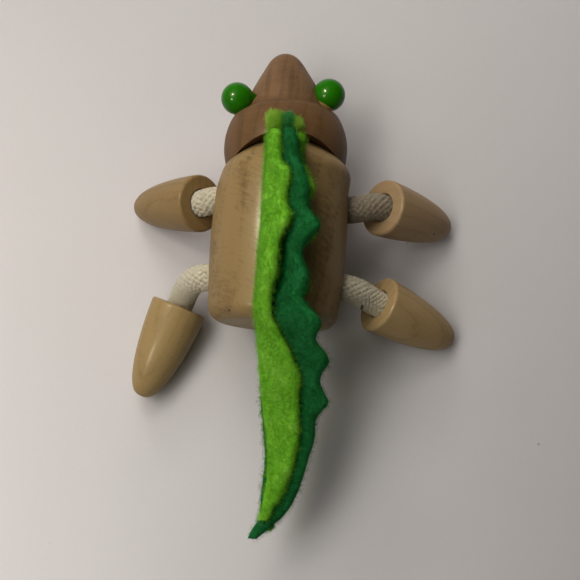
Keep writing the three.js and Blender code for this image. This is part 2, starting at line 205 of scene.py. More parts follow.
class Nodes:
    def __init__(self, name):
        self.mat = bpy.data.materials.new(name)
        self.mat.use_nodes = True
        self.t = self.mat.node_tree
        self.t.nodes.clear()
        self.out = self.t.nodes.new("ShaderNodeOutputMaterial")
        self.bsdf = self.t.nodes.new("ShaderNodeBsdfPrincipled")
        self.t.links.new(self.bsdf.outputs[0], self.out.inputs[0])

    def add(self, kind, **props):
        n = self.t.nodes.new(kind)
        for k, v in props.items():
            setattr(n, k, v)
        return n

    def link(self, a, b):
        self.t.links.new(a, b)

    def set(self, node, **vals):
        for k, v in vals.items():
            node.inputs[k.replace("_", " ")].default_value = v

    def math(self, op, a, b=None, clamp=False):
        n = self.add("ShaderNodeMath", operation=op, use_clamp=clamp)
        for i, x in enumerate((a, b)):
            if x is None:
                continue
            if isinstance(x, (int, float)):
                n.inputs[i].default_value = x
            else:
                self.link(x, n.inputs[i])
        return n.outputs[0]

    def mix(self, fac, a, b, mode="MIX"):
        n = self.add("ShaderNodeMix", data_type="RGBA", blend_type=mode)
        for sock, x in ((n.inputs[0], fac), (n.inputs[6], a), (n.inputs[7], b)):
            if isinstance(x, (int, float)):
                sock.default_value = x
            elif isinstance(x, tuple):
                sock.default_value = x
            else:
                self.link(x, sock)
        return n.outputs[2]

    def ramp(self, fac, stops, interpolation="LINEAR"):
        n = self.add("ShaderNodeValToRGB")
        n.color_ramp.interpolation = interpolation
        e = n.color_ramp.elements
        while len(e) < len(stops):
            e.new(0.5)
        for el, (p, c) in zip(e, stops):
            el.position = p
            el.color = c if len(c) == 4 else (*c, 1)
        self.link(fac, n.inputs[0])
        return n.outputs[0]

    def noise(self, vec, scale, detail=2.0, rough=0.5, distortion=0.0, dims="3D"):
        n = self.add("ShaderNodeTexNoise", noise_dimensions=dims)
        n.inputs["Scale"].default_value = scale
        n.inputs["Detail"].default_value = detail
        n.inputs["Roughness"].default_value = rough
        n.inputs["Distortion"].default_value = distortion
        if vec is not None:
            self.link(vec, n.inputs["Vector"])
        return n.outputs[0]

    def coords(self, loc=(0, 0, 0), rot=(0, 0, 0), scale=(1, 1, 1), which="Object"):
        tc = self.add("ShaderNodeTexCoord")
        m = self.add("ShaderNodeMapping")
        m.inputs["Location"].default_value = loc
        m.inputs["Rotation"].default_value = rot
        m.inputs["Scale"].default_value = scale
        self.link(tc.outputs[which], m.inputs["Vector"])
        return m.outputs[0]

    def map(self, vec, loc=(0, 0, 0), rot=(0, 0, 0), scale=(1, 1, 1)):
        m = self.add("ShaderNodeMapping")
        m.inputs["Location"].default_value = loc
        m.inputs["Rotation"].default_value = rot
        m.inputs["Scale"].default_value = scale
        self.link(vec, m.inputs["Vector"])
        return m.outputs[0]

    def bump(self, height, strength, distance):
        b = self.add("ShaderNodeBump")
        b.inputs["Strength"].default_value = strength
        b.inputs["Distance"].default_value = distance
        self.link(height, b.inputs["Height"])
        self.link(b.outputs[0], self.bsdf.inputs["Normal"])
        return b


def scale_c(c, k):
    return tuple(min(1.0, v * k) for v in c[:3]) + (1.0,)


def add_marks(n, mm, col, marks, tone):
    """Single dark marks: x, y (millimetres in the shapes' frame), half length along x, half length along y, how dark."""
    if not marks:
        return col
    sep = n.add("ShaderNodeSeparateXYZ")
    n.link(mm, sep.inputs[0])
    for x, y, rx, ry, *own in marks:
        dx = n.math("DIVIDE", n.math("SUBTRACT", sep.outputs[0], x + SX * 1000), rx)
        dy = n.math("DIVIDE", n.math("SUBTRACT", sep.outputs[1], y + SY * 1000), ry)
        r = n.math("ADD", n.math("MULTIPLY", dx, dx), n.math("MULTIPLY", dy, dy))
        col = n.mix(n.math("MULTIPLY", n.math("SUBTRACT", 1.6, r, clamp=True), own[0] if own else 0.85), col, tone)
    return col


def wood(name, light, dark, ring_at, ring_tilt, ring_gap, contrast=0.5, fibre=0.35, fleck=0.6, rough=0.42, seed=0.0, blotch=0.25, ripple=0.0, ripple_turn=0.0, paler=None, marks=(), spots=0.75, grain_axis_rot=(0, 0, 0)):
    """Turned hardwood: growth rings about an axis near local Y, long fibres, short dark flecks, thin satin lacquer.
    Coordinates are in metres; ring_at is where the pith passes, ring_tilt its slope."""
    n = Nodes(name)
    base = n.coords(rot=grain_axis_rot)
    mm = n.map(base, scale=(1000, 1000, 1000))
    # slow waviness of the rings along the grain
    slow = n.map(mm, loc=(seed * 7.1, seed * 3.3, seed), scale=(0.05, 0.018, 0.05))
    wob = n.add("ShaderNodeTexNoise")
    wob.inputs["Scale"].default_value = 1.0
    wob.inputs["Detail"].default_value = 3.0
    n.link(slow, wob.inputs["Vector"])
    off = n.add("ShaderNodeVectorMath", operation="MULTIPLY_ADD")
    n.link(wob.outputs["Color"], off.inputs[0])
    off.inputs[1].default_value = (9, 0, 9)
    n.link(mm, off.inputs[2])
    ringc = n.map(off.outputs[0], loc=tuple(-v for v in ring_at), rot=ring_tilt)
    sep = n.add("ShaderNodeSeparateXYZ")
    n.link(ringc, sep.inputs[0])
    r2 = n.math("ADD", n.math("MULTIPLY", sep.outputs[0], sep.outputs[0]), n.math("MULTIPLY", sep.outputs[2], sep.outputs[2]))
    r = n.math("SQRT", r2)
    wide = n.noise(n.map(mm, scale=(0.02, 0.004, 0.02), loc=(seed, 0, 3)), 1.0, 2.0)
    r = n.math("ADD", n.math("DIVIDE", r, ring_gap), n.math("MULTIPLY", wide, 2.2))
    saw = n.math("FRACT", r)
    late = n.ramp(saw, [(0.0, (0.35,) * 3), (0.14, (0.05,) * 3), (0.45, (0.12,) * 3), (0.80, (0.42,) * 3), (0.93, (0.95,) * 3), (1.0, (0.35,) * 3)])
    # fibres
    fib = n.noise(n.map(mm, scale=(2.6, 0.06, 2.6), loc=(seed * 2, 1, 5)), 1.0, 4.0, 0.6)
    fine = n.noise(n.map(mm, scale=(7.0, 0.22, 7.0), loc=(3, seed, 9)), 1.0, 3.0, 0.65)
    blot = n.noise(n.map(mm, scale=(0.10, 0.045, 0.10), loc=(seed, 8, 1)), 1.0, 3.0, 0.55)
    k = n.math("MULTIPLY", late, contrast)
    k = n.math("ADD", k, n.math("MULTIPLY", n.math("SUBTRACT", fib, 0.5), fibre * 1.6))
    k = n.math("ADD", k, n.math("MULTIPLY", n.math("SUBTRACT", fine, 0.5), fibre))
    k = n.math("ADD", k, n.math("MULTIPLY", n.math("SUBTRACT", blot, 0.5), blotch * 2.2))
    # curl: faint ripples that run across the grain
    curl = n.noise(n.map(n.map(off.outputs[0], rot=(0, 0, ripple_turn)), scale=(0.16, 0.95, 0.5), loc=(seed, 4, 2)), 1.0, 3.0, 0.5)
    k = n.math("ADD", k, n.math("MULTIPLY", n.math("SUBTRACT", curl, 0.5), ripple * 2.0))
    pore = n.noise(n.map(mm, scale=(3.2, 1.6, 3.2), loc=(2, seed, 8)), 1.0, 2.0, 0.6)
    k = n.math("ADD", k, n.math("MULTIPLY", n.math("SUBTRACT", pore, 0.5), 0.62), clamp=True)
    col = n.mix(k, light, dark)
    if paler:
        sy = n.add("ShaderNodeSeparateXYZ")
        n.link(mm, sy.inputs[0])
        ramp = n.math("DIVIDE", n.math("SUBTRACT", sy.outputs[1], paler[0]), paler[1] - paler[0], clamp=True)
        col = n.mix(ramp, col, n.mix(1.0, col, paler[2], "MULTIPLY"))
    # flecks: short dark dashes along the grain
    v = n.add("ShaderNodeTexVoronoi", feature="F1")
    v.inputs["Scale"].default_value = 1.0
    v.inputs["Randomness"].default_value = 1.0
    n.link(n.map(mm, scale=(1.05, 0.24, 1.05), loc=(seed * 5, 2, 7)), v.inputs["Vector"])
    dash = n.ramp(v.outputs["Distance"], [(0.0, (1, 1, 1)), (0.10, (0.75,) * 3), (0.17, (0, 0, 0)), (1.0, (0, 0, 0))])
    keep = n.ramp(n.noise(n.map(mm, scale=(0.35, 0.1, 0.35), loc=(1, seed, 2)), 1.0, 2.0), [(0.0, (0, 0, 0)), (0.52, (0, 0, 0)), (0.62, (1, 1, 1)), (1.0, (1, 1, 1))])
    fl = n.math("MULTIPLY", n.math("MULTIPLY", dash, keep), fleck, clamp=True)
    col = n.mix(fl, col, scale_c(dark, 0.62))
    # sparse near-black marks
    v2 = n.add("ShaderNodeTexVoronoi", feature="F1")
    v2.inputs["Scale"].default_value = 1.0
    n.link(n.map(mm, scale=(0.105, 0.075, 0.105), loc=(seed * 3, 4, 1)), v2.inputs["Vector"])
    spot = n.ramp(v2.outputs["Distance"], [(0.0, (1, 1, 1)), (0.045, (0.8,) * 3), (0.07, (0, 0, 0)), (1.0, (0, 0, 0))])
    col = n.mix(n.math("MULTIPLY", spot, spots), col, scale_c(dark, 0.28))
    col = add_marks(n, mm, col, marks, scale_c(dark, 0.30))
    n.link(col, n.bsdf.inputs["Base Color"])
    n.link(n.math("ADD", n.math("MULTIPLY", fib, 0.10), rough - 0.05), n.bsdf.inputs["Roughness"])
    n.bsdf.inputs["Coat Weight"].default_value = 0.11
    n.bsdf.inputs["Coat Roughness"].default_value = 0.22
    n.bsdf.inputs["Coat IOR"].default_value = 1.58
    n.bsdf.inputs["Specular IOR Level"].default_value = 0.08
    h = n.math("ADD", n.math("MULTIPLY", fine, 0.6), n.math("MULTIPLY", fib, 0.7))
    h = n.math("SUBTRACT", h, n.math("MULTIPLY", fl, 0.8))
    n.bump(h, 0.22, 0.00012)
    return n.mat


# bare wood at the foot of each bead: towards where, and how wide (cosine)
BARE = {"left": ((0.52, -0.80, -0.25), 0.76), "right": ((-0.42, -0.86, -0.20), 0.66)}


def paint_green():
    n = Nodes("eye_enamel")
    mm = n.coords(scale=(1000, 1000, 1000))
    col = n.mix(n.noise(n.coords(scale=(260, 260, 260)), 1.0, 2.0), srgb(28, 99, 1), srgb(37, 118, 4))
    for side, (toward, cosine) in BARE.items():
        at = EYES[side][0]
        v = n.add("ShaderNodeVectorMath", operation="SUBTRACT")
        n.link(mm, v.inputs[0])
        v.inputs[1].default_value = (at[0] + SX * 1000, at[1] + SY * 1000, at[2])
        d = n.add("ShaderNodeVectorMath", operation="DOT_PRODUCT")
        n.link(v.outputs[0], d.inputs[0])
        d.inputs[1].default_value = tuple(Vector(toward).normalized())
        size = n.add("ShaderNodeVectorMath", operation="LENGTH")
        n.link(v.outputs[0], size.inputs[0])
        cap = n.math("MULTIPLY", n.math("SUBTRACT", n.math("DIVIDE", d.outputs["Value"], EYE_R), cosine), 14.0, clamp=True)
        here = n.math("MULTIPLY", n.math("SUBTRACT", EYE_R + 0.8, size.outputs["Value"]), 4.0, clamp=True)
        col = n.mix(n.math("MULTIPLY", cap, here), col, srgb(196, 160, 104))
    n.link(col, n.bsdf.inputs["Base Color"])
    n.bsdf.inputs["Roughness"].default_value = 0.3
    n.bsdf.inputs["Specular IOR Level"].default_value = 0.12
    n.bsdf.inputs["Coat IOR"].default_value = 1.3
    n.bsdf.inputs["Coat Weight"].default_value = 0.4
    n.bsdf.inputs["Coat Roughness"].default_value = 0.06
    n.bump(n.noise(n.coords(scale=(420, 420, 420)), 1.0, 2.0), 0.10, 0.00008)
    return n.mat


def cotton(name, base, shade, dots=0.5, marks=()):
    n = Nodes(name)
    c = n.coords(which="UV")
    o = n.coords(scale=(1000, 1000, 1000))
    # fine twisted yarns along every strand: u runs along the strand, v round it
    w = n.add("ShaderNodeTexWave", wave_type="BANDS", bands_direction="DIAGONAL")
    w.inputs["Scale"].default_value = 1.0
    w.inputs["Distortion"].default_value = 0.6
    w.inputs["Detail"].default_value = 1.0
    n.link(n.map(c, scale=(9.0, 2.2, 1.0)), w.inputs["Vector"])
    speck = n.noise(o, 1.4, 4.0, 0.7)
    k = n.math("ADD", n.math("MULTIPLY", w.outputs["Fac"], 0.35), n.math("MULTIPLY", speck, 0.55), clamp=True)
    col = n.mix(k, shade, base)
    # stray dark fibres
    v = n.add("ShaderNodeTexVoronoi", feature="F1")
    v.inputs["Scale"].default_value = 1.0
    n.link(n.map(o, scale=(0.95, 0.95, 0.95)), v.inputs["Vector"])
    dot = n.ramp(v.outputs["Distance"], [(0.0, (1, 1, 1)), (0.13, (0.8,) * 3), (0.2, (0, 0, 0)), (1.0, (0, 0, 0))])
    col = n.mix(n.math("MULTIPLY", dot, dots), col, scale_c(shade, 0.25))
    # listed marks are painted near black: painted shade standing for gaps in the braid
    col = add_marks(n, o, col, marks, (0.004, 0.003, 0.002, 1))
    n.link(col, n.bsdf.inputs["Base Color"])
    n.bsdf.inputs["Roughness"].default_value = 0.9
    n.bsdf.inputs["Sheen Weight"].default_value = 0.25
    n.bsdf.inputs["Sheen Roughness"].default_value = 0.5
    n.bsdf.inputs["Specular IOR Level"].default_value = 0.2
    n.bump(n.math("ADD", n.math("MULTIPLY", w.outputs["Fac"], 0.8), n.math("MULTIPLY", speck, 0.6)), 0.7, 0.00018)
    return n.mat


def felt_material(name, mid, light, dark, sheen):
    n = Nodes(name)
    mm = n.coords(scale=(1000, 1000, 1000))
    big = n.noise(mm, 0.22, 3.0, 0.55)
    clump = n.noise(mm, 1.1, 3.0, 0.6, 0.6)
    fine = n.noise(mm, 4.5, 4.0, 0.7, 1.2)
    k = n.math("ADD", n.math("MULTIPLY", big, 0.30), n.math("ADD", n.math("MULTIPLY", clump, 0.35), n.math("MULTIPLY", fine, 0.35)))
    col = n.ramp(k, [(0.0, dark), (0.40, dark), (0.51, mid), (0.63, light), (1.0, light)])
    n.link(col, n.bsdf.inputs["Base Color"])
    n.bsdf.inputs["Roughness"].default_value = 0.95
    n.bsdf.inputs["Specular IOR Level"].default_value = 0.12
    n.bsdf.inputs["Sheen Weight"].default_value = sheen
    n.bsdf.inputs["Sheen Roughness"].default_value = 0.45
    n.bsdf.inputs["Sheen Tint"].default_value = light
    h = n.math("ADD", n.math("MULTIPLY", clump, 0.7), n.math("MULTIPLY", fine, 0.8))
    n.bump(h, 1.0, 0.0006)
    return n.mat


HEAD_Y = SY * 1000
MAT = {
    "body": wood("body_wood", srgb(147, 121, 79), srgb(88, 67, 39), (-30, 0, 40), (0.22, 0, 0.16), 7.5, contrast=0.30, seed=1.7, fleck=0.40, rough=0.44, blotch=0.80, ripple=0.60, ripple_turn=0.42, spots=0.0,
                 marks=((-12.95, -25.12, 0.42, 0.22), (-9.94, 18.35, 0.30, 0.18))),
    "head": wood("head_wood", srgb(109, 80, 51), srgb(64, 43, 25), (-46, 0, 30), (0.02, 0, 0.02), 4.4, contrast=0.30, seed=4.1, fleck=0.25, rough=0.52, blotch=0.45, ripple=0.30, ripple_turn=0.1, spots=0.0,
                 marks=((-7.80, 43.20, 0.75, 6.0, 0.2), (-1.16, 42.94, 0.75, 6.5, 0.2), (-14.45, 27.46, 0.8, 7.0, 0.2)),
                 paler=(HEAD_Y + 36.5, HEAD_Y + 38.5, (1.28, 1.36, 1.55, 1))),
    # each foot has its own copy of the foot wood, made lighter or darker one by one to stand in for the light and shade
    # that foot gets: painted light and shade, besides its own grain
    "foot_front_left": wood("foot_wood_a", srgb(146, 119, 77), srgb(98, 73, 42), (14, 0, 6), (0.10, 0, 0.03), 2.8, contrast=0.30, seed=7.9, fleck=0.45, rough=0.42, ripple=0.12),
    "foot_front_right": wood("foot_wood_b", srgb(162, 134, 98), srgb(118, 91, 61), (-12, 0, 9), (0.08, 0, -0.05), 3.4, contrast=0.30, seed=2.3, fleck=0.40, rough=0.44, ripple=0.12),
    "foot_rear_left": wood("foot_wood_c", srgb(166, 139, 92), srgb(110, 84, 50), (15, 0, -4), (-0.06, 0, 0.06), 3.0, contrast=0.26, seed=5.4, fleck=0.45, rough=0.38, ripple=0.16),
    "foot_rear_right": wood("foot_wood_d", srgb(166, 139, 96), srgb(116, 90, 56), (-14, 0, -6), (0.05, 0, 0.07), 2.6, contrast=0.34, seed=9.6, fleck=0.40, rough=0.42, ripple=0.12),
    # the listed mark paints a near-black spot on the rear right rope: painted shade standing for a gap in the braid
    "rope": cotton("cotton_rope", srgb(255, 248, 222), srgb(192, 176, 140), 0.6, marks=((24.07, -19.09, 0.42, 0.62),)),
    # darker copy of the rope for the front right leg: partly dirt, partly painted shade
    "rope_dirty_and_shaded": cotton("cotton_rope_dirty_and_shaded", srgb(184, 168, 140), srgb(112, 98, 78), 0.95),
    "light": felt_material("light_felt", srgb(139, 224, 50), srgb(176, 242, 92), srgb(104, 190, 24), 0.3),
    "dark": felt_material("dark_felt", srgb(17, 117, 51), srgb(50, 146, 83), srgb(2, 88, 31), 0.35),
    # brighter copies of the two felts for the head crest: painted light, lifting a crest that the lamps leave dim
    "lit_copy_light": felt_material("light_felt_lit_copy", srgb(198, 255, 84), srgb(232, 255, 140), srgb(140, 228, 34), 0.3),
    "lit_copy_dark": felt_material("dark_felt_lit_copy", srgb(92, 204, 104), srgb(160, 232, 150), srgb(18, 130, 52), 0.35),
}


def dress(o, key):
    o.data.materials.clear()
    o.data.materials.append(MAT[key])
    return o


# ---------------------------------------------------------------- barrel
BARREL_R, END_R, REAR_Y, DOME_Y, DOME_R, ROUND = 19.4, 18.4, -27.0, 4.0, 23.0, 4.6
BORE_Z, FRONT_Y, REAR_BORE_Y, NECK_Z = 22.8, 8.7, -14.1, 23.1
SIDE_SHIFT = -1.35
SLOT_FLOOR, HEAD_SLOT_W = 39.8, 10.4


def side_shift(y):
    t = min(1.0, max(0.0, (y - 10) / 11))
    return SIDE_SHIFT * (1 - t * t * (3 - 2 * t))


def barrel():
    prof = [(0, REAR_Y)]
    for i in range(1, 8):
        prof.append(((END_R - ROUND) * i / 7, REAR_Y))
    for i in range(1, 15):
        a = math.radians(90 * i / 14)
        prof.append((END_R - ROUND + ROUND * math.sin(a), REAR_Y + ROUND - ROUND * math.cos(a)))
    shoulder = DOME_Y + math.sqrt(DOME_R ** 2 - END_R ** 2)
    side = []
    for i in range(1, 41):
        t = i / 40
        side.append((END_R + (BARREL_R - END_R) * math.sin(math.pi * t), REAR_Y + ROUND + (shoulder - REAR_Y - ROUND) * t))
    start = math.atan2(shoulder - DOME_Y, END_R)
    dome = []
    for i in range(1, 40):
        a = start + (math.pi / 2 - start) * i / 40
        dome.append((DOME_R * math.cos(a), DOME_Y + DOME_R * math.sin(a)))
    # soften the shoulder with a short fillet
    pts = [p for p in side if p[1] < shoulder - 1.5]
    fil_a, fil_b = pts[-1], [p for p in dome if p[1] > shoulder + 1.3][0]
    corner = (END_R + 0.12, shoulder)
    for i in range(1, 8):
        t = i / 8
        pts.append(((1 - t) ** 2 * fil_a[0] + 2 * t * (1 - t) * corner[0] + t * t * fil_b[0],
                    (1 - t) ** 2 * fil_a[1] + 2 * t * (1 - t) * corner[1] + t * t * fil_b[1]))
    prof += pts + [p for p in dome if p[1] > shoulder + 1.3]
    prof.append((0, DOME_Y + DOME_R))
    v, f = lathe_arrays(prof, 192)
    o = mesh_object("wood_barrel", [(x + side_shift(y), y, z + AXIS_Z) for x, y, z in v], f, smooth=False)
    fix_normals(o)
    cut = []
    # crest slot: its walls close on the felt, edges lightly broken
    v = []
    for y, left, right in ((-40, -5.86, 4.0), (-27, -5.86, 4.0), (24, -6.2, 3.75), (40, -6.3, 3.7)):
        v += [(left, y, SLOT_FLOOR), (right, y, SLOT_FLOOR), (right, y, 43.9), (right + 0.45, y, 44.5), (right + 4, y, 52), (left - 1.2, y, 52), (left - 0.16, y, 44.35), (left, y, 43.9)]
    n = 8
    f = [tuple(range(n)), tuple(range(4 * n - 1, 3 * n - 1, -1))]
    for k in range(3):
        f += [(k * n + i, k * n + i + n, k * n + (i + 1) % n + n, k * n + (i + 1) % n) for i in range(n)]
    c = mesh_object("cut_slot", v, f, smooth=False)
    fix_normals(c)
    cut.append(c)
    for y in (FRONT_Y, REAR_BORE_Y):
        cut.append(cylinder("cut_bore", (-30, y, BORE_Z), (30, y, BORE_Z), 4.1))
        for s in (-1, 1):
            cut.append(cylinder("cut_mouth", (s * 18.2 + SIDE_SHIFT, y, BORE_Z), (s * 20.6 + SIDE_SHIFT, y, BORE_Z), 4.1, r2=5.4))
    cut.append(cylinder("cut_neck", (-0.5, 15.5, NECK_Z), (-0.5, 30, NECK_Z), 4.4))
    carve(o, cut)
    finish_wood(o)
    dress(o, "body")
    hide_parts("barrel_body")
    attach(o, "torso")
    return o


# ---------------------------------------------------------------- head
HEAD_AT = Vector((-1.4, 25.1, 23.0))
HEAD_M = Matrix.Translation(HEAD_AT) @ Matrix.Rotation(math.radians(4.4), 4, "Z") @ Matrix.Rotation(math.radians(-4.5), 4, "X")
HEAD_R, COPE_R, COPE_BALL_R = 18.0, 21.8, 23.08
EYE_R = 4.7


def in_head(x, y, z):
    return HEAD_M @ Vector((x, y, z))


EYES = {"left": (in_head(-14.1, 14.2, 4.6), in_head(0, 14.5, 2.2)), "right": (in_head(12.65, 15.4, 4.6), in_head(0, 9.5, 1.6))}
SNOUT = [(15.3, 8.95), (14.55, 9.55), (13.6, 10.1), (12.7, 10.45), (12.15, 10.8), (11.92, 11.4), (11.3, 14.2), (10.6, 16.4), (9.6, 18.7),
         (8.3, 21.2), (6.9, 23.7), (5.7, 25.9), (4.7, 27.5), (3.5, 28.8), (1.9, 29.75), (0, 30.1)]


def head():
    prof = [(0, -HEAD_R)]
    for i in range(1, 57):
        a = math.radians(-90 + 118.2 * i / 56)
        prof.append((HEAD_R * math.cos(a), HEAD_R * math.sin(a)))
    tail = resample([prof[-1]] + SNOUT, 0.45)[1:]
    prof += [(max(0.0, p[0]), p[1]) for p in tail]
    prof[-1] = (0, prof[-1][1])
    v, f = lathe_arrays(prof, 176)
    o = mesh_object("wood_head", [HEAD_M @ Vector(p) for p in v], f, smooth=False)
    fix_normals(o)
    cut = [cylinder("cut_cope", (0, DOME_Y, -5), (0, DOME_Y, 65), COPE_R, 256), sphere("cut_ball", (0, DOME_Y, AXIS_Z), COPE_BALL_R, 192, 128)]
    h = HEAD_SLOT_W / 2
    for x0, x1, y1 in ((-5.35, 1.15, 4.0), (1.1, 3.75, 2.6)):
        vv = [in_head(x, y, z) for y in (-25, y1) for x, z in ((x0, 13.2), (x1, 13.2), (x1, 30), (x0, 30))]
        ff = [(0, 1, 2, 3), (7, 6, 5, 4)] + [(i, i + 4, (i + 1) % 4 + 4, (i + 1) % 4) for i in range(4)]
        c = mesh_object("cut_slot", vv, ff, smooth=False)
        fix_normals(c)
        cut.append(c)
    cut.append(cylinder("cut_neck", (-0.35, 24, NECK_Z + 0.1), (-1.3, 36.5, NECK_Z - 0.4), 4.4))
    for s, (at, aim) in EYES.items():
        inward = (aim - at).normalized()
        cut.append(sphere("cut_eye", at, EYE_R + 0.10))
        cut.append(cylinder("cut_peg", at, at + inward * 10.6, 1.75))
        if s == "left":
            # the wood is cut away above the neck of this bead
            side = inward.cross(Vector((0, 0, 1))).normalized() * 2.5
            base, tip = at + inward * 3.9, at + inward * 6.0
            vv = [p + Vector((0, 0, z)) for z in (-0.6, 9) for p in (base - side, tip, base + side)]
            c = mesh_object("cut_notch", vv, [(0, 1, 2), (5, 4, 3), (0, 3, 4, 1), (1, 4, 5, 2), (2, 5, 3, 0)], smooth=False)
            fix_normals(c)
            cut.append(c)
    carve(o, cut)
    finish_wood(o)
    dress(o, "head")
    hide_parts("head_block")
    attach(o, "head")
    return o


def eyes():
    MAT["eye"] = paint_green()
    for s, (at, aim) in EYES.items():
        inward = (aim - at).normalized()
        q = inward.to_track_quat("Y", "Z")
        # ball with a painted neck that tapers into its peg
        prof = [(0, -EYE_R)]
        for i in range(1, 53):
            a = math.pi * i / 66
            prof.append((EYE_R * math.sin(a), -EYE_R * math.cos(a)))
        prof += [(2.35, 4.2), (1.95, 4.8), (1.65, 5.4), (1.5, 6.0), (1.5, 8.0), (1.5, 9.6), (0, 9.7)]
        v, f = lathe_arrays(prof, 96)
        o = mesh_object(f"bead_{s}", [q @ Vector(p) + at for p in v], f, smooth=False)
        fix_normals(o)
        finish_wood(o, 40)
        dress(o, "eye")
        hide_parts(f"eye_{s}")
        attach(o, "head")


# ---------------------------------------------------------------- feet
FOOT_D, FOOT_L, FOOT_BORE = 16.8, 29.0, 8.5
# flat: centre of the flat face; plan, down: where the tip points; turn: the joint at the middle of the free rope
LEGS = {
    "front_left": dict(side=-1, y=FRONT_Y, flat=(-24.7, 7.8), plan=175.4, down=43, out=0.42, into=0.28, turn=(-22.6, 8.4, 22.5)),
    "front_right": dict(side=1, y=FRONT_Y, flat=(27.95, 10.9), plan=-2.2, down=40.3, out=0.35, into=0.35, turn=(22.9, 9.9, 22.2)),
    "rear_left": dict(side=-1, y=REAR_BORE_Y, flat=(-29.65, -21.35), plan=-108.6, down=5, out=0.36, into=0.22, turn=(-27.0, -17.6, 16.9)),
    "rear_right": dict(side=1, y=REAR_BORE_Y, flat=(28.9, -17.0), plan=-17.7, down=28.8, out=0.4, into=0.35, turn=(23.4, -15.0, 20.3)),
}
R_F = FOOT_D / 2


def bullet(t):
    return R_F * max(0.0, 1 - (t / FOOT_L) ** 1.58) ** 0.38


FOOT_PROFILE = [(R_F - 0.9, 0), (R_F - 0.25, 0.45)] + [(bullet(t), t) for t in (1.4, 4, 8, 12, 16, 19, 22, 24.3, 26.2, 27.6, 28.5)] + [(0, FOOT_L)]


def foot_place(leg):
    p, d = math.radians(leg["plan"]), math.radians(leg["down"])
    direction = Vector((math.cos(p) * math.cos(d), math.sin(p) * math.cos(d), -math.sin(d)))
    z = max(t * math.sin(d) + r * math.cos(d) for r, t in FOOT_PROFILE)
    return Vector((leg["flat"][0], leg["flat"][1], z)), direction


def feet():
    for k, (name, leg) in enumerate(LEGS.items()):
        flat, direction = foot_place(leg)
        ts = [1.05 + (FOOT_L - 1.05) * math.sin(math.pi / 2 * i / 60) for i in range(61)]
        outer = [(bullet(t), t) for t in ts]
        outer[-1] = (0, FOOT_L)
        edge = bullet(1.05)
        rim = []
        for i in range(0, 9):
            a = math.radians(90 * i / 8)
            rim.append((edge - 0.85 + 0.85 * math.sin(a), 0.85 - 0.85 * math.cos(a)))
        prof = [(0, FOOT_BORE), (4.15, FOOT_BORE), (4.15, 0.45), (4.25, 0.2), (4.5, 0.0), (6.0, 0.0)] + rim + outer
        v, f = lathe_arrays(prof, 128)
        o = mesh_object(f"wood_foot_{name}", [Vector(p) for p in v], f, smooth=False)
        fix_normals(o)
        # grain turned differently in each foot: the local frame carries the texture
        q = direction.to_track_quat("Y", "Z") @ Matrix.Rotation(math.radians((40, 160, 255, 330)[k]), 3, "Y").to_quaternion()
        o.data.transform(Matrix.Scale(0.001, 4))
        o.matrix_world = Matrix.Translation(Vector(W(*flat))) @ q.to_matrix().to_4x4()
        o.data.shade_smooth()
        o.data.set_sharp_from_angle(angle=math.radians(35))
        dress(o, f"foot_{name}")
        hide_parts(f"foot_{name}")
        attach(o, f"{name}_foot")


# ---------------------------------------------------------------- braided rope
def bezier(p0, p1, p2, p3, t):
    s = 1 - t
    return s * s * s * p0 + 3 * s * s * t * p1 + 3 * s * t * t * p2 + t * t * t * p3


def arc_points(points, step):
    pts = np.array(points, float)
    seg = np.linalg.norm(np.diff(pts, axis=0), axis=1)
    s = np.concatenate([[0], np.cumsum(seg)])
    n = max(2, int(round(s[-1] / step)))
    t = np.linspace(0, s[-1], n + 1)
    return np.stack([np.interp(t, s, pts[:, i]) for i in range(3)], 1), t


def frames(pts):
    tan = np.gradient(pts, axis=0)
    tan /= np.linalg.norm(tan, axis=1)[:, None]
    u = np.array([0, 0, 1.0])
    if abs(tan[0] @ u) > 0.9:
        u = np.array([0, 1.0, 0])
    n = u - (u @ tan[0]) * tan[0]
    n /= np.linalg.norm(n)
    N = [n]
    for i in range(1, len(pts)):
        n = N[-1] - (N[-1] @ tan[i]) * tan[i]
        N.append(n / np.linalg.norm(n))
    N = np.array(N)
    return tan, N, np.cross(tan, N)


ROPE_R = 3.9
N_STRANDS = 13         # in each direction
PITCH = 21.0           # length of one full turn


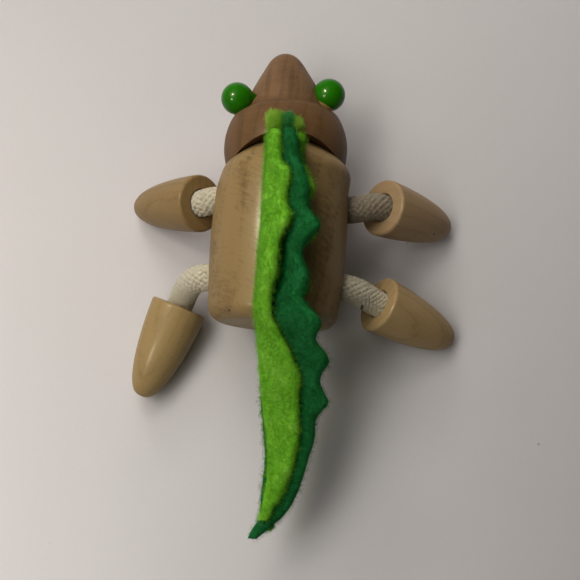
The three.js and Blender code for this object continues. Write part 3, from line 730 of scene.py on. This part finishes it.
def braid(name, pts, s0, rng, squeeze=1.0, key="rope"):
    """Strand tubes braided round the centreline pts (mm). s0 is the length already run, so that pieces of one rope line up."""
    tan, N, B = frames(pts)
    seg = np.linalg.norm(np.diff(pts, axis=0), axis=1)
    s = np.concatenate([[0], np.cumsum(seg)]) + s0
    verts, faces, uvs = [], [], []
    sides = 8
    w = 2 * math.pi / PITCH
    mid_r = (ROPE_R - 0.42) * squeeze
    amp = 0.20
    for hand in (1, -1):
        for k in range(N_STRANDS):
            jitter = rng.uniform(-0.035, 0.035)
            size = rng.uniform(0.92, 1.08)
            theta = hand * (w * s) + 2 * math.pi * k / N_STRANDS + jitter
            rad = mid_r + hand * amp * np.cos(N_STRANDS * w * s)
            c = pts + (np.cos(theta) * rad)[:, None] * N + (np.sin(theta) * rad)[:, None] * B
            out = np.cos(theta)[:, None] * N + np.sin(theta)[:, None] * B
            tg = np.gradient(c, axis=0)
            tg /= np.linalg.norm(tg, axis=1)[:, None]
            side = np.cross(tg, out)
            side /= np.linalg.norm(side, axis=1)[:, None]
            up = np.cross(side, tg)
            o0 = len(verts)
            wide, thick = 0.64 * size, 0.34 * size
            for i in range(len(pts)):
                for j in range(sides):
                    a = 2 * math.pi * j / sides
                    ca, sa = math.cos(a), math.sin(a)
                    ca = math.copysign(abs(ca) ** 0.8, ca)
                    verts.append(c[i] + side[i] * wide * ca + up[i] * thick * sa)
            for i in range(len(pts) - 1):
                for j in range(sides):
                    a = o0 + i * sides + j
                    b = o0 + i * sides + (j + 1) % sides
                    faces.append((a, b, b + sides, a + sides))
                    uvs.append(((s[i] + k * 3.1, j / sides), (s[i] + k * 3.1, (j + 1) / sides), (s[i + 1] + k * 3.1, (j + 1) / sides), (s[i + 1] + k * 3.1, j / sides)))
            for end, base in ((0, o0), (1, o0 + (len(pts) - 1) * sides)):
                f = [base + j for j in range(sides)]
                faces.append(tuple(f if end else reversed(f)))
                uvs.append(tuple((s[0], 0.0) for _ in range(sides)))
    # core
    sides = 20
    o0 = len(verts)
    for i in range(len(pts)):
        for j in range(sides):
            a = 2 * math.pi * j / sides
            verts.append(pts[i] + (math.cos(a) * N[i] + math.sin(a) * B[i]) * (ROPE_R - 0.62) * squeeze)
    for i in range(len(pts) - 1):
        for j in range(sides):
            a = o0 + i * sides + j
            b = o0 + i * sides + (j + 1) % sides
            faces.append((a, b, b + sides, a + sides))
            uvs.append(((0, 0),) * 4)
    for end, base in ((0, o0), (1, o0 + (len(pts) - 1) * sides)):
        f = [base + j for j in range(sides)]
        faces.append(tuple(f if end else reversed(f)))
        uvs.append(((0, 0),) * sides)
    me = bpy.data.meshes.new(name)
    me.from_pydata([tuple(v) for v in to_world(verts)], [], faces)
    lay = me.uv_layers.new(name="UVMap")
    flat = [c for f in uvs for c in f]
    lay.data.foreach_set("uv", np.array(flat, np.float32).ravel())
    me.update()
    o = link(bpy.data.objects.new(name, me))
    me.shade_smooth()
    fix_normals(o)
    dress(o, key)
    return o


def ropes():
    rng = random.Random(11)
    for name, leg in LEGS.items():
        flat, direction = foot_place(leg)
        c = flat - direction * 0.4
        side = leg["side"]
        a = Vector((side * 13.9, leg["y"], BORE_Z))
        b = Vector((side * 18.6 + SIDE_SHIFT, leg["y"], BORE_Z))
        reach = (c - b).length
        p1 = b + Vector((side * reach * leg["out"], 0, 0))
        p2 = c - direction * reach * leg["into"]
        line = [tuple(a.lerp(b, i / 12)) for i in range(12)]
        curve = [tuple(bezier(b, p1, p2, c, i / 60)) for i in range(61)]
        end = [tuple(c + direction * (0.2 * i)) for i in range(1, 34)]
        pts, s = arc_points(line + curve + end, 0.34)
        # the two halves meet where the lift joint is
        i = int(np.argmin(np.linalg.norm(pts - np.array(leg["turn"]), axis=1)))
        ph = 0.0 if side > 0 else 1.3
        # the front right rope takes the darker copy: partly dirt, partly painted shade
        key = "rope_dirty_and_shaded" if name == "front_right" else "rope"
        near = braid(f"rope_{name}_body", pts[: i + 2], ph, rng, key=key)
        far = braid(f"rope_{name}_foot", pts[i:], ph + s[i], rng, key=key)
        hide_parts(f"{name}_rope_free")
        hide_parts(f"{name}_rope_end")
        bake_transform(near)
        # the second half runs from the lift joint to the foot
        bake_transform(far)
    for node, y in (("front_rope_middle", FRONT_Y), ("rear_rope_middle", REAR_BORE_Y)):
        o = cylinder(f"core_{node}", (-13.8, y, BORE_Z), (13.8, y, BORE_Z), ROPE_R - 0.1, 48)
        finish_wood(o, 40)
        dress(o, "rope")
        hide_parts(node)
        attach(o, "torso")
    # neck
    line = resample([(-0.5, 16, NECK_Z), (-0.5, 21, NECK_Z), (-0.55, 25.5, NECK_Z), (-0.85, 30.5, NECK_Z - 0.12), (-1.25, 35.9, NECK_Z - 0.37)], 0.34)
    pts, s = arc_points([tuple(p) for p in line], 0.34)
    # each half ends inside its own bore; the short hidden gap lets them turn past each other
    i, j = int(np.argmin(abs(pts[:, 1] - 26.3))), int(np.argmin(abs(pts[:, 1] - 27.7)))
    n1 = braid("rope_neck_body", pts[: i + 1], 0.0, rng, squeeze=0.84)
    n2 = braid("rope_neck_head", pts[j:], s[j], rng, squeeze=0.84)
    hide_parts("neck_cord")
    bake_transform(n1)
    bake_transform(n2)


# ---------------------------------------------------------------- felt
PITCH_F = 3.25
HALF = 1.55


def table_at(table, y):
    """Linear in y over rows [y, v...], rows running from high y to low."""
    ys = np.array([r[0] for r in table])[::-1]
    return [float(np.interp(y, ys, np.array([r[i] for r in table])[::-1])) for i in range(1, len(table[0]))]


def smooth_table(table, y, sigma):
    acc, tot = None, 0.0
    for k in range(-4, 5):
        w = math.exp(-0.5 * (k / 2) ** 2)
        v = np.array(table_at(table, y + k * sigma / 2))
        acc = v * w if acc is None else acc + v * w
        tot += w
    return acc / tot


# y, x of the middle layer's foot, z of its foot, lean of the lower part, lean of the upper part (degrees from upright)
SPINE = [
    [24, -1.4, 40.6, 0, 10], [18, -1.35, 40.6, 0, 18], [14, -1.3, 40.6, 0, 29], [6.5, -1.25, 40.6, 0, 41], [-3.8, -1.15, 40.6, 0, 47],
    [-10.4, -1.1, 40.6, 0, 45], [-16.3, -1.05, 40.6, 0, 45], [-22, -1.0, 40.6, 0, 48], [-24.5, -1.0, 40.6, 0, 50], [-26.8, -1.0, 40.6, 3, 51], [-29.4, -1.05, 40.3, 16, 53], [-32.4, -1.2, 39.0, 34, 54], [-37, -1.2, 37.0, 46, 57],
    [-43.2, -1.0, 34.2, 55, 60], [-48.4, -0.6, 31.8, 60, 62], [-52.6, -0.1, 30.0, 62, 63], [-58.2, 0.1, 27.9, 63, 64], [-65, 0.1, 25.4, 64, 65],
    [-70.5, 0.1, 23.6, 64, 65], [-75.4, 0.0, 22.2, 63, 64], [-80.2, -0.3, 21.0, 61, 62], [-83.4, -0.7, 20.4, 60, 60], [-88, -1.4, 19.6, 58, 58],
]
# y, how much more upright than the middle layer the left one stands (degrees)
OPEN = [[24, 0], [18, 0], [14, 2], [4, 4], [-2, 10], [-6, 21], [-10, 29], [-16, 28], [-22, 31], [-25, 31], [-28, 29], [-31, 21], [-35, 11], [-42, 2], [-50, 0], [-90, 0]]
# y, distance along the layer from its foot line to its top edge
TOP = {
    "left": [[22.6, 11.0], [21.0, 12.4], [17.0, 11.8], [14.3, 11.6], [13.2, 13.0], [11.4, 15.5], [9.5, 16.2], [7.5, 15.8], [5.3, 14.7], [3.2, 14.4], [1.4, 15.3], [-0.7, 16.8], [-2.1, 17.2], [-4.3, 17.1], [-5.8, 16.1], [-7.3, 15.6], [-9.3, 15.7], [-11.6, 16.9], [-13.9, 16.6], [-16.2, 16.6], [-18.1, 15.3], [-20.0, 13.8], [-22.2, 12.8], [-25.3, 12.4], [-27.4, 11.1], [-29.3, 10.6], [-31.7, 9.8], [-33.6, 10.3], [-35.5, 10.8], [-37.4, 11.2], [-39.4, 12.0], [-41.4, 12.5], [-42.8, 12.5], [-44.6, 11.9], [-46.7, 11.1], [-49.2, 11.1], [-52.9, 10.8], [-56.8, 10.8], [-59.5, 10.7], [-62.2, 10.2], [-64.9, 9.8], [-67.7, 9.2], [-70.2, 8.1], [-72.4, 7.6], [-74.7, 6.7], [-76.5, 5.1], [-78.1, 3.2], [-79.6, 3.6], [-81.0, 3.0]],
    "middle": [[22.8, 12.6], [19.2, 14.8], [16.6, 14.4], [14.1, 14.3], [11.8, 15.5], [9.6, 16.4], [7.5, 16.9], [5.9, 16.9], [4.1, 16.5], [2.6, 16.3], [0.9, 17.1], [-1.1, 18.8], [-2.8, 20.4], [-3.8, 20.9], [-5.3, 19.9], [-6.7, 17.8], [-8.4, 15.9], [-9.7, 15.0], [-11.5, 15.2], [-13.5, 16.4], [-15.4, 17.7], [-17.2, 18.1], [-18.7, 17.6], [-20.4, 16.8], [-22.0, 16.1], [-23.8, 17.1], [-25.6, 19.1], [-26.9, 20.4], [-28.0, 20.6], [-29.6, 19.4], [-31.0, 17.5], [-31.9, 16.4], [-33.6, 17.0], [-35.2, 18.4], [-36.9, 19.4], [-38.1, 19.2], [-39.9, 17.2], [-41.9, 16.1], [-43.7, 16.3], [-45.9, 17.4], [-47.4, 18.4], [-48.4, 18.0], [-50.1, 16.1], [-52.0, 14.2], [-53.8, 13.9], [-56.5, 14.0], [-58.9, 13.7], [-60.8, 13.1], [-63.3, 12.5], [-65.8, 12.0], [-68.3, 11.3], [-70.8, 10.7], [-73.3, 9.9], [-75.9, 8.8], [-78.0, 7.7], [-79.9, 6.2], [-81.7, 4.4], [-83.3, 2.9], [-84.9, 1.3], [-86.0, 0.3], [-86.4, 0.2]],
    "right": [[22.6, 9.0], [20.5, 9.4], [19.0, 8.4], [17.5, 7.6], [15.1, 7.4], [12.1, 10.1], [9.7, 11.8], [7.4, 12.7], [6.2, 12.4], [4.8, 10.7], [3.3, 9.4], [1.6, 10.2], [-0.5, 12.2], [-2.7, 13.7], [-4.1, 14.1], [-5.6, 12.8], [-7.0, 10.5], [-8.7, 8.2], [-10.8, 8.0], [-13.1, 9.7], [-15.6, 11.3], [-17.8, 12.3], [-19.6, 12.1], [-21.3, 9.9], [-22.9, 8.9], [-25.2, 10.3], [-27.3, 12.2], [-29.2, 13.5], [-30.6, 12.1], [-31.5, 11.0], [-33.2, 12.1], [-34.9, 13.9], [-36.9, 15.4], [-38.4, 15.4], [-40.2, 13.3], [-42.0, 12.4], [-44.0, 13.0], [-46.3, 14.5], [-48.3, 15.7], [-50.8, 13.2], [-53.0, 11.1], [-56.5, 11.3], [-59.0, 10.8], [-63.5, 9.7], [-68.5, 8.6], [-72.5, 7.5], [-76.2, 6.4], [-79.2, 5.0], [-81.3, 3.1], [-82.9, 1.5], [-84.0, 1.4]],
}
# y, distance from the foot line at which the layer begins
FOOT = {
    "left": [[24, 0], [-29, 0], [-32.8, -0.4], [-37.9, -0.2], [-41.8, -0.1], [-45.7, 0.1], [-49.6, 0.2], [-53.5, 0.5], [-57.5, 1.2], [-61.5, 1.8], [-65.5, 2.1], [-69.6, 2.3], [-72.3, 2.0], [-75.1, 1.9], [-77.9, 1.7], [-81, 1.0]],
    "middle": [[24, 0], [-29, 0], [-36, -1.0], [-45.5, -2.1], [-50.8, -2.2], [-54.8, -1.7], [-58.9, -0.9], [-62.9, -0.4], [-67.0, -0.4], [-70.4, -0.5], [-73.2, -0.6], [-76.2, -0.4], [-79.5, -0.3], [-81.8, -0.7],
               [-83.0, -1.3], [-84.5, -2.0], [-86.4, -2.8]],
    "right": [[24, 0], [-29, 0], [-36, -0.6], [-45.5, -1.0], [-60, 0], [-84, -0.4]],
}
# where along each layer the bend out of the slot lies
BEND = {"left": 7.4, "middle": 6.6, "right": 5.0}


def layer_section(key, y):
    """Middle line of one layer at y: distances, points (x, z), angles; then where the layer begins and ends on it."""
    fx, fz, low, high = smooth_table(SPINE, y, 1.6)
    side = {"left": -1, "middle": 0, "right": 1}[key]
    low_r = math.radians(low)
    high_r = math.radians(high - (float(smooth_table(OPEN, y, 1.5)[0]) if key == "left" else 0.0))
    width, step, before = 3.4, 0.25, 20
    s = np.arange(-before, 161) * step
    t = np.clip((s[:-1] - (BEND[key] - width / 2)) / width, 0, 1)
    ang = low_r + (high_r - low_r) * t * t * (3 - 2 * t)
    x = np.concatenate([[0], np.cumsum(np.sin(ang) * step)])
    z = np.concatenate([[0], np.cumsum(np.cos(ang) * step)])
    x += fx + math.cos(low_r) * PITCH_F * side - x[before]
    z += fz - math.sin(low_r) * PITCH_F * side - z[before]
    foot = float(smooth_table(FOOT[key], y, 0.6)[0])
    top = float(smooth_table(TOP[key], y, 0.40)[0])
    return s, x, z, np.concatenate([ang, [ang[-1]]]), foot, top


def felt_layer(name, key, y0, y1, seed, step=0.36, across=30):
    ys = np.arange(y0, y1, -step)
    rounds = 7
    verts, M = [], None
    for iy, y in enumerate(ys):
        s, x, z, ang, foot, h = layer_section(key, y)
        # soften the two ends of the strip
        end = min(iy, len(ys) - 1 - iy) * step
        k = min(1.0, math.sqrt(max(0.0, 1 - (1 - min(1.0, (end + 0.05) / 1.3)) ** 2)))
        half = HALF * (0.6 + 0.4 * k)
        top = max(foot + half * 2.1, h - (1 - k) * 0.5)
        ss = np.linspace(foot + half, top - half, across)
        px, pz, pa = (np.interp(ss, s, q) for q in (x, z, ang))
        nx, nz = np.cos(pa), -np.sin(pa)
        ring = []
        for i in range(across):
            ring.append((px[i] - nx[i] * half, pz[i] - nz[i] * half))
        for j in range(1, rounds):
            a = math.pi * j / rounds
            c, u = -math.cos(a), math.sin(a) ** 0.9
            ring.append((px[-1] + nx[-1] * half * c + math.sin(pa[-1]) * half * u, pz[-1] + nz[-1] * half * c + math.cos(pa[-1]) * half * u))
        for i in range(across - 1, -1, -1):
            ring.append((px[i] + nx[i] * half, pz[i] + nz[i] * half))
        for j in range(1, rounds):
            a = math.pi * j / rounds
            c, u = math.cos(a), math.sin(a) ** 0.9
            ring.append((px[0] + nx[0] * half * c - math.sin(pa[0]) * half * u, pz[0] + nz[0] * half * c - math.cos(pa[0]) * half * u))
        M = len(ring)
        verts += [(p[0], y, p[1]) for p in ring]
    faces = []
    for i in range(len(ys) - 1):
        for j in range(M):
            a, b = i * M + j, i * M + (j + 1) % M
            faces.append((a, b, b + M, a + M))
    for first, flip in ((0, True), ((len(ys) - 1) * M, False)):
        c = np.mean(verts[first:first + M], axis=0)
        verts.append(tuple(c))
        ci = len(verts) - 1
        for j in range(M):
            f = (first + j, first + (j + 1) % M, ci)
            faces.append(f[::-1] if flip else f)
    return finish_felt(name, verts, faces, seed)


def finish_felt(name, verts, faces, seed, lump=0.16, fine=0.10):
    me = bpy.data.meshes.new(name)
    me.from_pydata([tuple(v) for v in verts], [], faces)
    me.update()
    o = link(bpy.data.objects.new(name, me))
    fix_normals(o)
    me = o.data
    # soft, slightly lumpy surface
    co = [v.co.copy() for v in me.vertices]
    nm = [v.normal.copy() for v in me.vertices]
    sx = seed * 13.7
    for i, v in enumerate(me.vertices):
        p = co[i]
        d = lump * noise.noise(Vector((p.x * 0.45 + sx, p.y * 0.45, p.z * 0.45)))
        d += fine * noise.noise(Vector((p.x * 1.9, p.y * 1.9 + sx, p.z * 1.9)))
        v.co = p + nm[i] * d
    me.transform(Matrix.Scale(0.001, 4))
    me.transform(Matrix.Translation((SX, SY, 0)))
    me.shade_smooth()
    me.update()
    return o


def fuzz(base, name, count, seed, length=(0.35, 0.95), width=0.026, matkey="light"):
    """Loose wool fibres: thin curved three-sided slivers that stand off the felt."""
    rng = np.random.default_rng(seed)
    me = base.data
    me.calc_loop_triangles()
    tri = np.array([t.vertices for t in me.loop_triangles])
    co = np.array([v.co for v in me.vertices]) * 1000
    a, b, c = co[tri[:, 0]], co[tri[:, 1]], co[tri[:, 2]]
    nrm = np.cross(b - a, c - a)
    area = np.linalg.norm(nrm, axis=1) / 2
    nrm /= np.maximum(1e-12, np.linalg.norm(nrm, axis=1))[:, None]
    share = area * (0.12 + np.maximum(0, nrm[:, 2]) + 0.7 * np.abs(nrm[:, 0]) * (nrm[:, 2] > -0.3))
    pick = rng.choice(len(tri), size=count, p=share / share.sum())
    u, v = rng.random(count), rng.random(count)
    flip = u + v > 1
    u[flip], v[flip] = 1 - u[flip], 1 - v[flip]
    p = a[pick] + (b[pick] - a[pick]) * u[:, None] + (c[pick] - a[pick]) * v[:, None]
    n = nrm[pick]
    t = rng.normal(size=(count, 3))
    t -= (t * n).sum(1)[:, None] * n
    t /= np.linalg.norm(t, axis=1)[:, None]
    L = rng.uniform(length[0], length[1], count)
    lift = rng.uniform(0.25, 1.15, count)
    segs = 2
    verts, faces = [], []
    for i in range(count):
        o0 = len(verts)
        side = np.cross(n[i], t[i])
        curl = rng.uniform(-0.9, 0.9)
        for k in range(segs + 1):
            q = k / segs
            d = t[i] * (q * L[i]) + n[i] * (L[i] * lift[i] * math.sin(q * math.pi * rng.uniform(0.55, 0.8)) - 0.05) + side * curl * L[i] * q * q * 0.6
            w = width * (1 - 0.75 * q)
            base_p = p[i] + d
            for j in range(3):
                an = 2 * math.pi * j / 3
                verts.append(base_p + side * (w * math.cos(an)) + n[i] * (w * math.sin(an)))
        for k in range(segs):
            for j in range(3):
                x, y = o0 + 3 * k + j, o0 + 3 * k + (j + 1) % 3
                faces.append((x, y, y + 3, x + 3))
        faces.append((o0 + 2, o0 + 1, o0))
        faces.append((o0 + 3 * segs, o0 + 3 * segs + 1, o0 + 3 * segs + 2))
    me2 = bpy.data.meshes.new(name)
    me2.from_pydata([tuple(x) for x in np.array(verts) / 1000], [], faces)
    me2.update()
    o = link(bpy.data.objects.new(name, me2))
    me2.shade_smooth()
    return o


def crest():
    spans = {"left": (22.6, -81.0), "middle": (22.8, -86.4), "right": (22.6, -84.0)}
    for i, key in enumerate(("left", "middle", "right")):
        y0, y1 = spans[key]
        o = felt_layer(f"felt_{key}", key, y0, y1, seed=i + 1)
        mk = "dark" if key == "middle" else "light"
        dress(o, mk)
        fz = fuzz(o, f"fuzz_{key}", 13500, 100 + i, length=(0.5, 1.5), width=0.042)
        dress(fz, mk)
        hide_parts(f"back_crest_{key}", f"tail_{key}")
        for p in (o, fz):
            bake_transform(p)
        me = o.data
    # head crest in the head's own frame
    for i, key in enumerate(("left", "middle", "right")):
        low, high, lean, x, thick = {"left": (19.4, 20.9, 0.25, -3.3, 1.7), "middle": (19.0, 20.4, 0.25, 0.05, 1.4), "right": (18.6, 19.8, 0.25, 2.6, 1.2)}[key]
        ys = np.arange(-0.4, {"left": 3.7, "middle": 3.3, "right": 2.2}[key], 0.2)
        verts, across, rounds = [], 16, 6
        for iy, t in enumerate(ys):
            end = min(iy, len(ys) - 1 - iy) * 0.2
            k = math.sqrt(max(0.0, 1 - (1 - min(1.0, (end + 0.05) / 1.2)) ** 2))
            half = thick * (0.55 + 0.45 * k)
            q = (t + 0.4) / 6.2
            top = high + (low - high) * max(0.0, (q - 0.45) / 0.55) ** 1.6 - (1 - k) * 0.8
            zs = np.linspace(13.5 + half, top - half, across)
            cx = x + lean * (zs - 13.5) / 5.0
            ring = [(cx[j] - half, zs[j]) for j in range(across)]
            ring += [(cx[-1] - half * math.cos(math.pi * j / rounds), zs[-1] + half * math.sin(math.pi * j / rounds)) for j in range(1, rounds)]
            ring += [(cx[j] + half, zs[j]) for j in range(across - 1, -1, -1)]
            ring += [(cx[0] + half * math.cos(math.pi * j / rounds), zs[0] - half * math.sin(math.pi * j / rounds)) for j in range(1, rounds)]
            M = len(ring)
            verts += [tuple(in_head(p[0], t, p[1])) for p in ring]
        faces = []
        for r in range(len(ys) - 1):
            for j in range(M):
                a, b = r * M + j, r * M + (j + 1) % M
                faces.append((a, b, b + M, a + M))
        for first, flip in ((0, True), ((len(ys) - 1) * M, False)):
            c = np.mean(verts[first:first + M], axis=0)
            verts.append(tuple(c))
            ci = len(verts) - 1
            for j in range(M):
                f = (first + j, first + (j + 1) % M, ci)
                faces.append(f[::-1] if flip else f)
        o = finish_felt(f"felt_head_{key}", verts, faces, 7 + i, lump=0.45, fine=0.55)
        # the head crest takes the brighter felt copies: painted light
        mk = "lit_copy_dark" if key == "middle" else "lit_copy_light"
        dress(o, mk)
        fz = fuzz(o, f"fuzz_head_{key}", 3000, 200 + i, length=(0.5, 1.3), width=0.05)
        dress(fz, mk)
        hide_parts(f"head_crest_{key}")
        for p in (o, fz):
            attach(p, "head")


# ---------------------------------------------------------------- stage
TABLE = 0.62


def stage():
    n = Nodes("table_top")
    mm = n.coords(scale=(1000, 1000, 1000))
    cloud = n.noise(mm, 0.012, 3.0, 0.55)
    grain = n.noise(mm, 0.9, 3.0, 0.6)
    k = n.math("ADD", n.math("MULTIPLY", cloud, 0.7), n.math("MULTIPLY", grain, 0.3))
    col = n.ramp(k, [(0.0, (0.60, 0.570, 0.568, 1)), (0.42, (0.628, 0.598, 0.596, 1)), (0.60, (0.645, 0.615, 0.613, 1)), (1.0, (0.665, 0.635, 0.632, 1))])
    # painted light falloff: the board's colour is paler towards its near left and darker towards the right, standing in
    # for light that falls off across the table
    sep = n.add("ShaderNodeSeparateXYZ")
    n.link(n.coords(scale=(12.5, 12.5, 12.5)), sep.inputs[0])
    u, w = n.math("MINIMUM", n.math("MAXIMUM", sep.outputs[0], -1.4), 1.4), n.math("MINIMUM", n.math("MAXIMUM", sep.outputs[1], -1.4), 1.4)
    shade = n.math("ADD", 0.9942, n.math("MULTIPLY", u, -0.1174))
    shade = n.math("ADD", shade, n.math("MULTIPLY", w, -0.0618))
    shade = n.math("ADD", shade, n.math("MULTIPLY", n.math("MULTIPLY", u, w), 0.0950))
    shade = n.math("ADD", shade, n.math("MULTIPLY", n.math("MULTIPLY", w, w), 0.0201))
    painted_falloff = n.add("ShaderNodeCombineXYZ")
    for i in range(3):
        n.link(shade, painted_falloff.inputs[i])
    col = n.mix(1.0, col, painted_falloff.outputs[0], "MULTIPLY")
    v = n.add("ShaderNodeTexVoronoi", feature="F1")
    v.inputs["Scale"].default_value = 1.0
    n.link(n.map(mm, scale=(0.055, 0.055, 0.055)), v.inputs["Vector"])
    dot = n.ramp(v.outputs["Distance"], [(0.0, (1, 1, 1)), (0.016, (0.7,) * 3), (0.03, (0, 0, 0)), (1.0, (0, 0, 0))])
    col = n.mix(n.math("MULTIPLY", dot, 0.55), col, srgb(96, 84, 72))
    n.link(col, n.bsdf.inputs["Base Color"])
    n.bsdf.inputs["Roughness"].default_value = 0.62
    n.bsdf.inputs["Specular IOR Level"].default_value = 0.3
    n.bump(grain, 0.05, 0.0001)
    me = bpy.data.meshes.new("table")
    s = 1.6
    me.from_pydata([(-s, -s, 0), (s, -s, 0), (s, s, 0), (-s, s, 0)], [], [(0, 1, 2, 3)])
    me.materials.append(n.mat)
    o = link(bpy.data.objects.new("table", me))
    o.location.z = -0.00002


def area_light(name, at, target, size, power, color=(1, 1, 1), size_y=None):
    d = bpy.data.lights.new(name, "AREA")
    d.shape = "RECTANGLE" if size_y else "DISK"
    d.size = size
    if size_y:
        d.size_y = size_y
    d.energy = power
    d.color = color
    o = link(bpy.data.objects.new(name, d))
    o.location = at
    o.rotation_mode = "QUATERNION"
    o.rotation_quaternion = (Vector(target) - Vector(at)).to_track_quat("-Z", "Y")
    return o


SOFTBOX = [
    (180, 62, 0.0434), (116, 55, 0.0390), (180, 69, 0.0329), (154, 62, 0.0316), (206, 62, 0.0288), (113, 27, 0.0267),
    (222, 55, 0.0196), (201, 55, 0.0172), (129, 62, 0.0154), (147, 69, 0.0153), (158, 34, 0.0151), (108, 48, 0.0133),
    (126, 48, 0.0128), (90, 18, 0.0124), (231, 62, 0.0111), (159, 55, 0.0107), (100, 27, 0.0103), (90, 48, 0.0097),
    (115, 34, 0.0096), (95, 55, 0.0096), (138, 55, 0.0091), (244, 55, 0.0083), (103, 62, 0.0082), (117, 41, 0.0080),
    (198, 48, 0.0072), (154, 76, 0.0070), (234, 48, 0.0069), (252, 48, 0.0048), (120, 18, 0.0048), (206, 76, 0.0046),
    (210, 18, 0.0046),
]
LIGHT_GAIN = 1.035


def lights_and_camera():
    sc = bpy.context.scene
    w = bpy.data.worlds.new("studio")
    sc.world = w
    w.use_nodes = True
    bg = w.node_tree.nodes["Background"]
    bg.inputs[0].default_value = (1.0, 0.98, 0.94, 1)
    bg.inputs[1].default_value = 0.015
    c = Vector(W(3, -16, 10))
    # a broad soft light made of small panels: azimuth, elevation, share of the light on the table
    for i, (az, el, share) in enumerate(SOFTBOX):
        a, e = math.radians(az), math.radians(el)
        d = Vector((math.cos(a) * math.cos(e), math.sin(a) * math.cos(e), math.sin(e)))
        o = area_light(f"panel_{i}", c + d * 0.75, c, 0.15, share * LIGHT_GAIN / TABLE * math.pi ** 2 * 0.75 ** 2 / d.z, (1.0, 0.975, 0.935))
        o.visible_glossy = False
    # the one panel that shows in glossy surfaces
    a, e = math.radians(155), math.radians(56)
    d = Vector((math.cos(a) * math.cos(e), math.sin(a) * math.cos(e), math.sin(e)))
    o = area_light("glint", c + d * 0.75, c, 0.085, 7.5, (1.0, 0.88, 0.62), size_y=0.085)
    o.visible_diffuse = False
    a, e = math.radians(206), math.radians(48)
    d = Vector((math.cos(a) * math.cos(e), math.sin(a) * math.cos(e), math.sin(e)))
    o = area_light("glint_low", c + d * 0.75, c, 0.09, 1.9, (1.0, 0.90, 0.66), size_y=0.09)
    o.visible_diffuse = False
    cam = bpy.data.cameras.new("cam")
    cam.sensor_width = 36.0
    cam.lens = 36.0 * 1000.0 / 580.0
    cam.clip_start, cam.clip_end = 0.01, 10
    o = link(bpy.data.objects.new("cam", cam))
    e, roll = math.radians(81.47), math.radians(4.39)
    back = Vector((0, -math.cos(e), math.sin(e)))
    up = Vector((0, math.sin(e), math.cos(e)))
    right = Vector((1, 0, 0))
    R = right * math.cos(roll) + up * math.sin(roll)
    U = -right * math.sin(roll) + up * math.cos(roll)
    t = Vector(W(2.98, -16.33, 25.5))
    o.matrix_world = Matrix.Translation(t + back * 0.28391) @ Matrix((R, U, back)).transposed().to_4x4()
    sc.camera = o
    sc.view_settings.view_transform = "Standard"
    sc.view_settings.look = "None"
    sc.view_settings.exposure = 0.0
    sc.view_settings.gamma = 1.0


barrel()
head()
eyes()
feet()
ropes()
crest()
stage()
lights_and_camera()
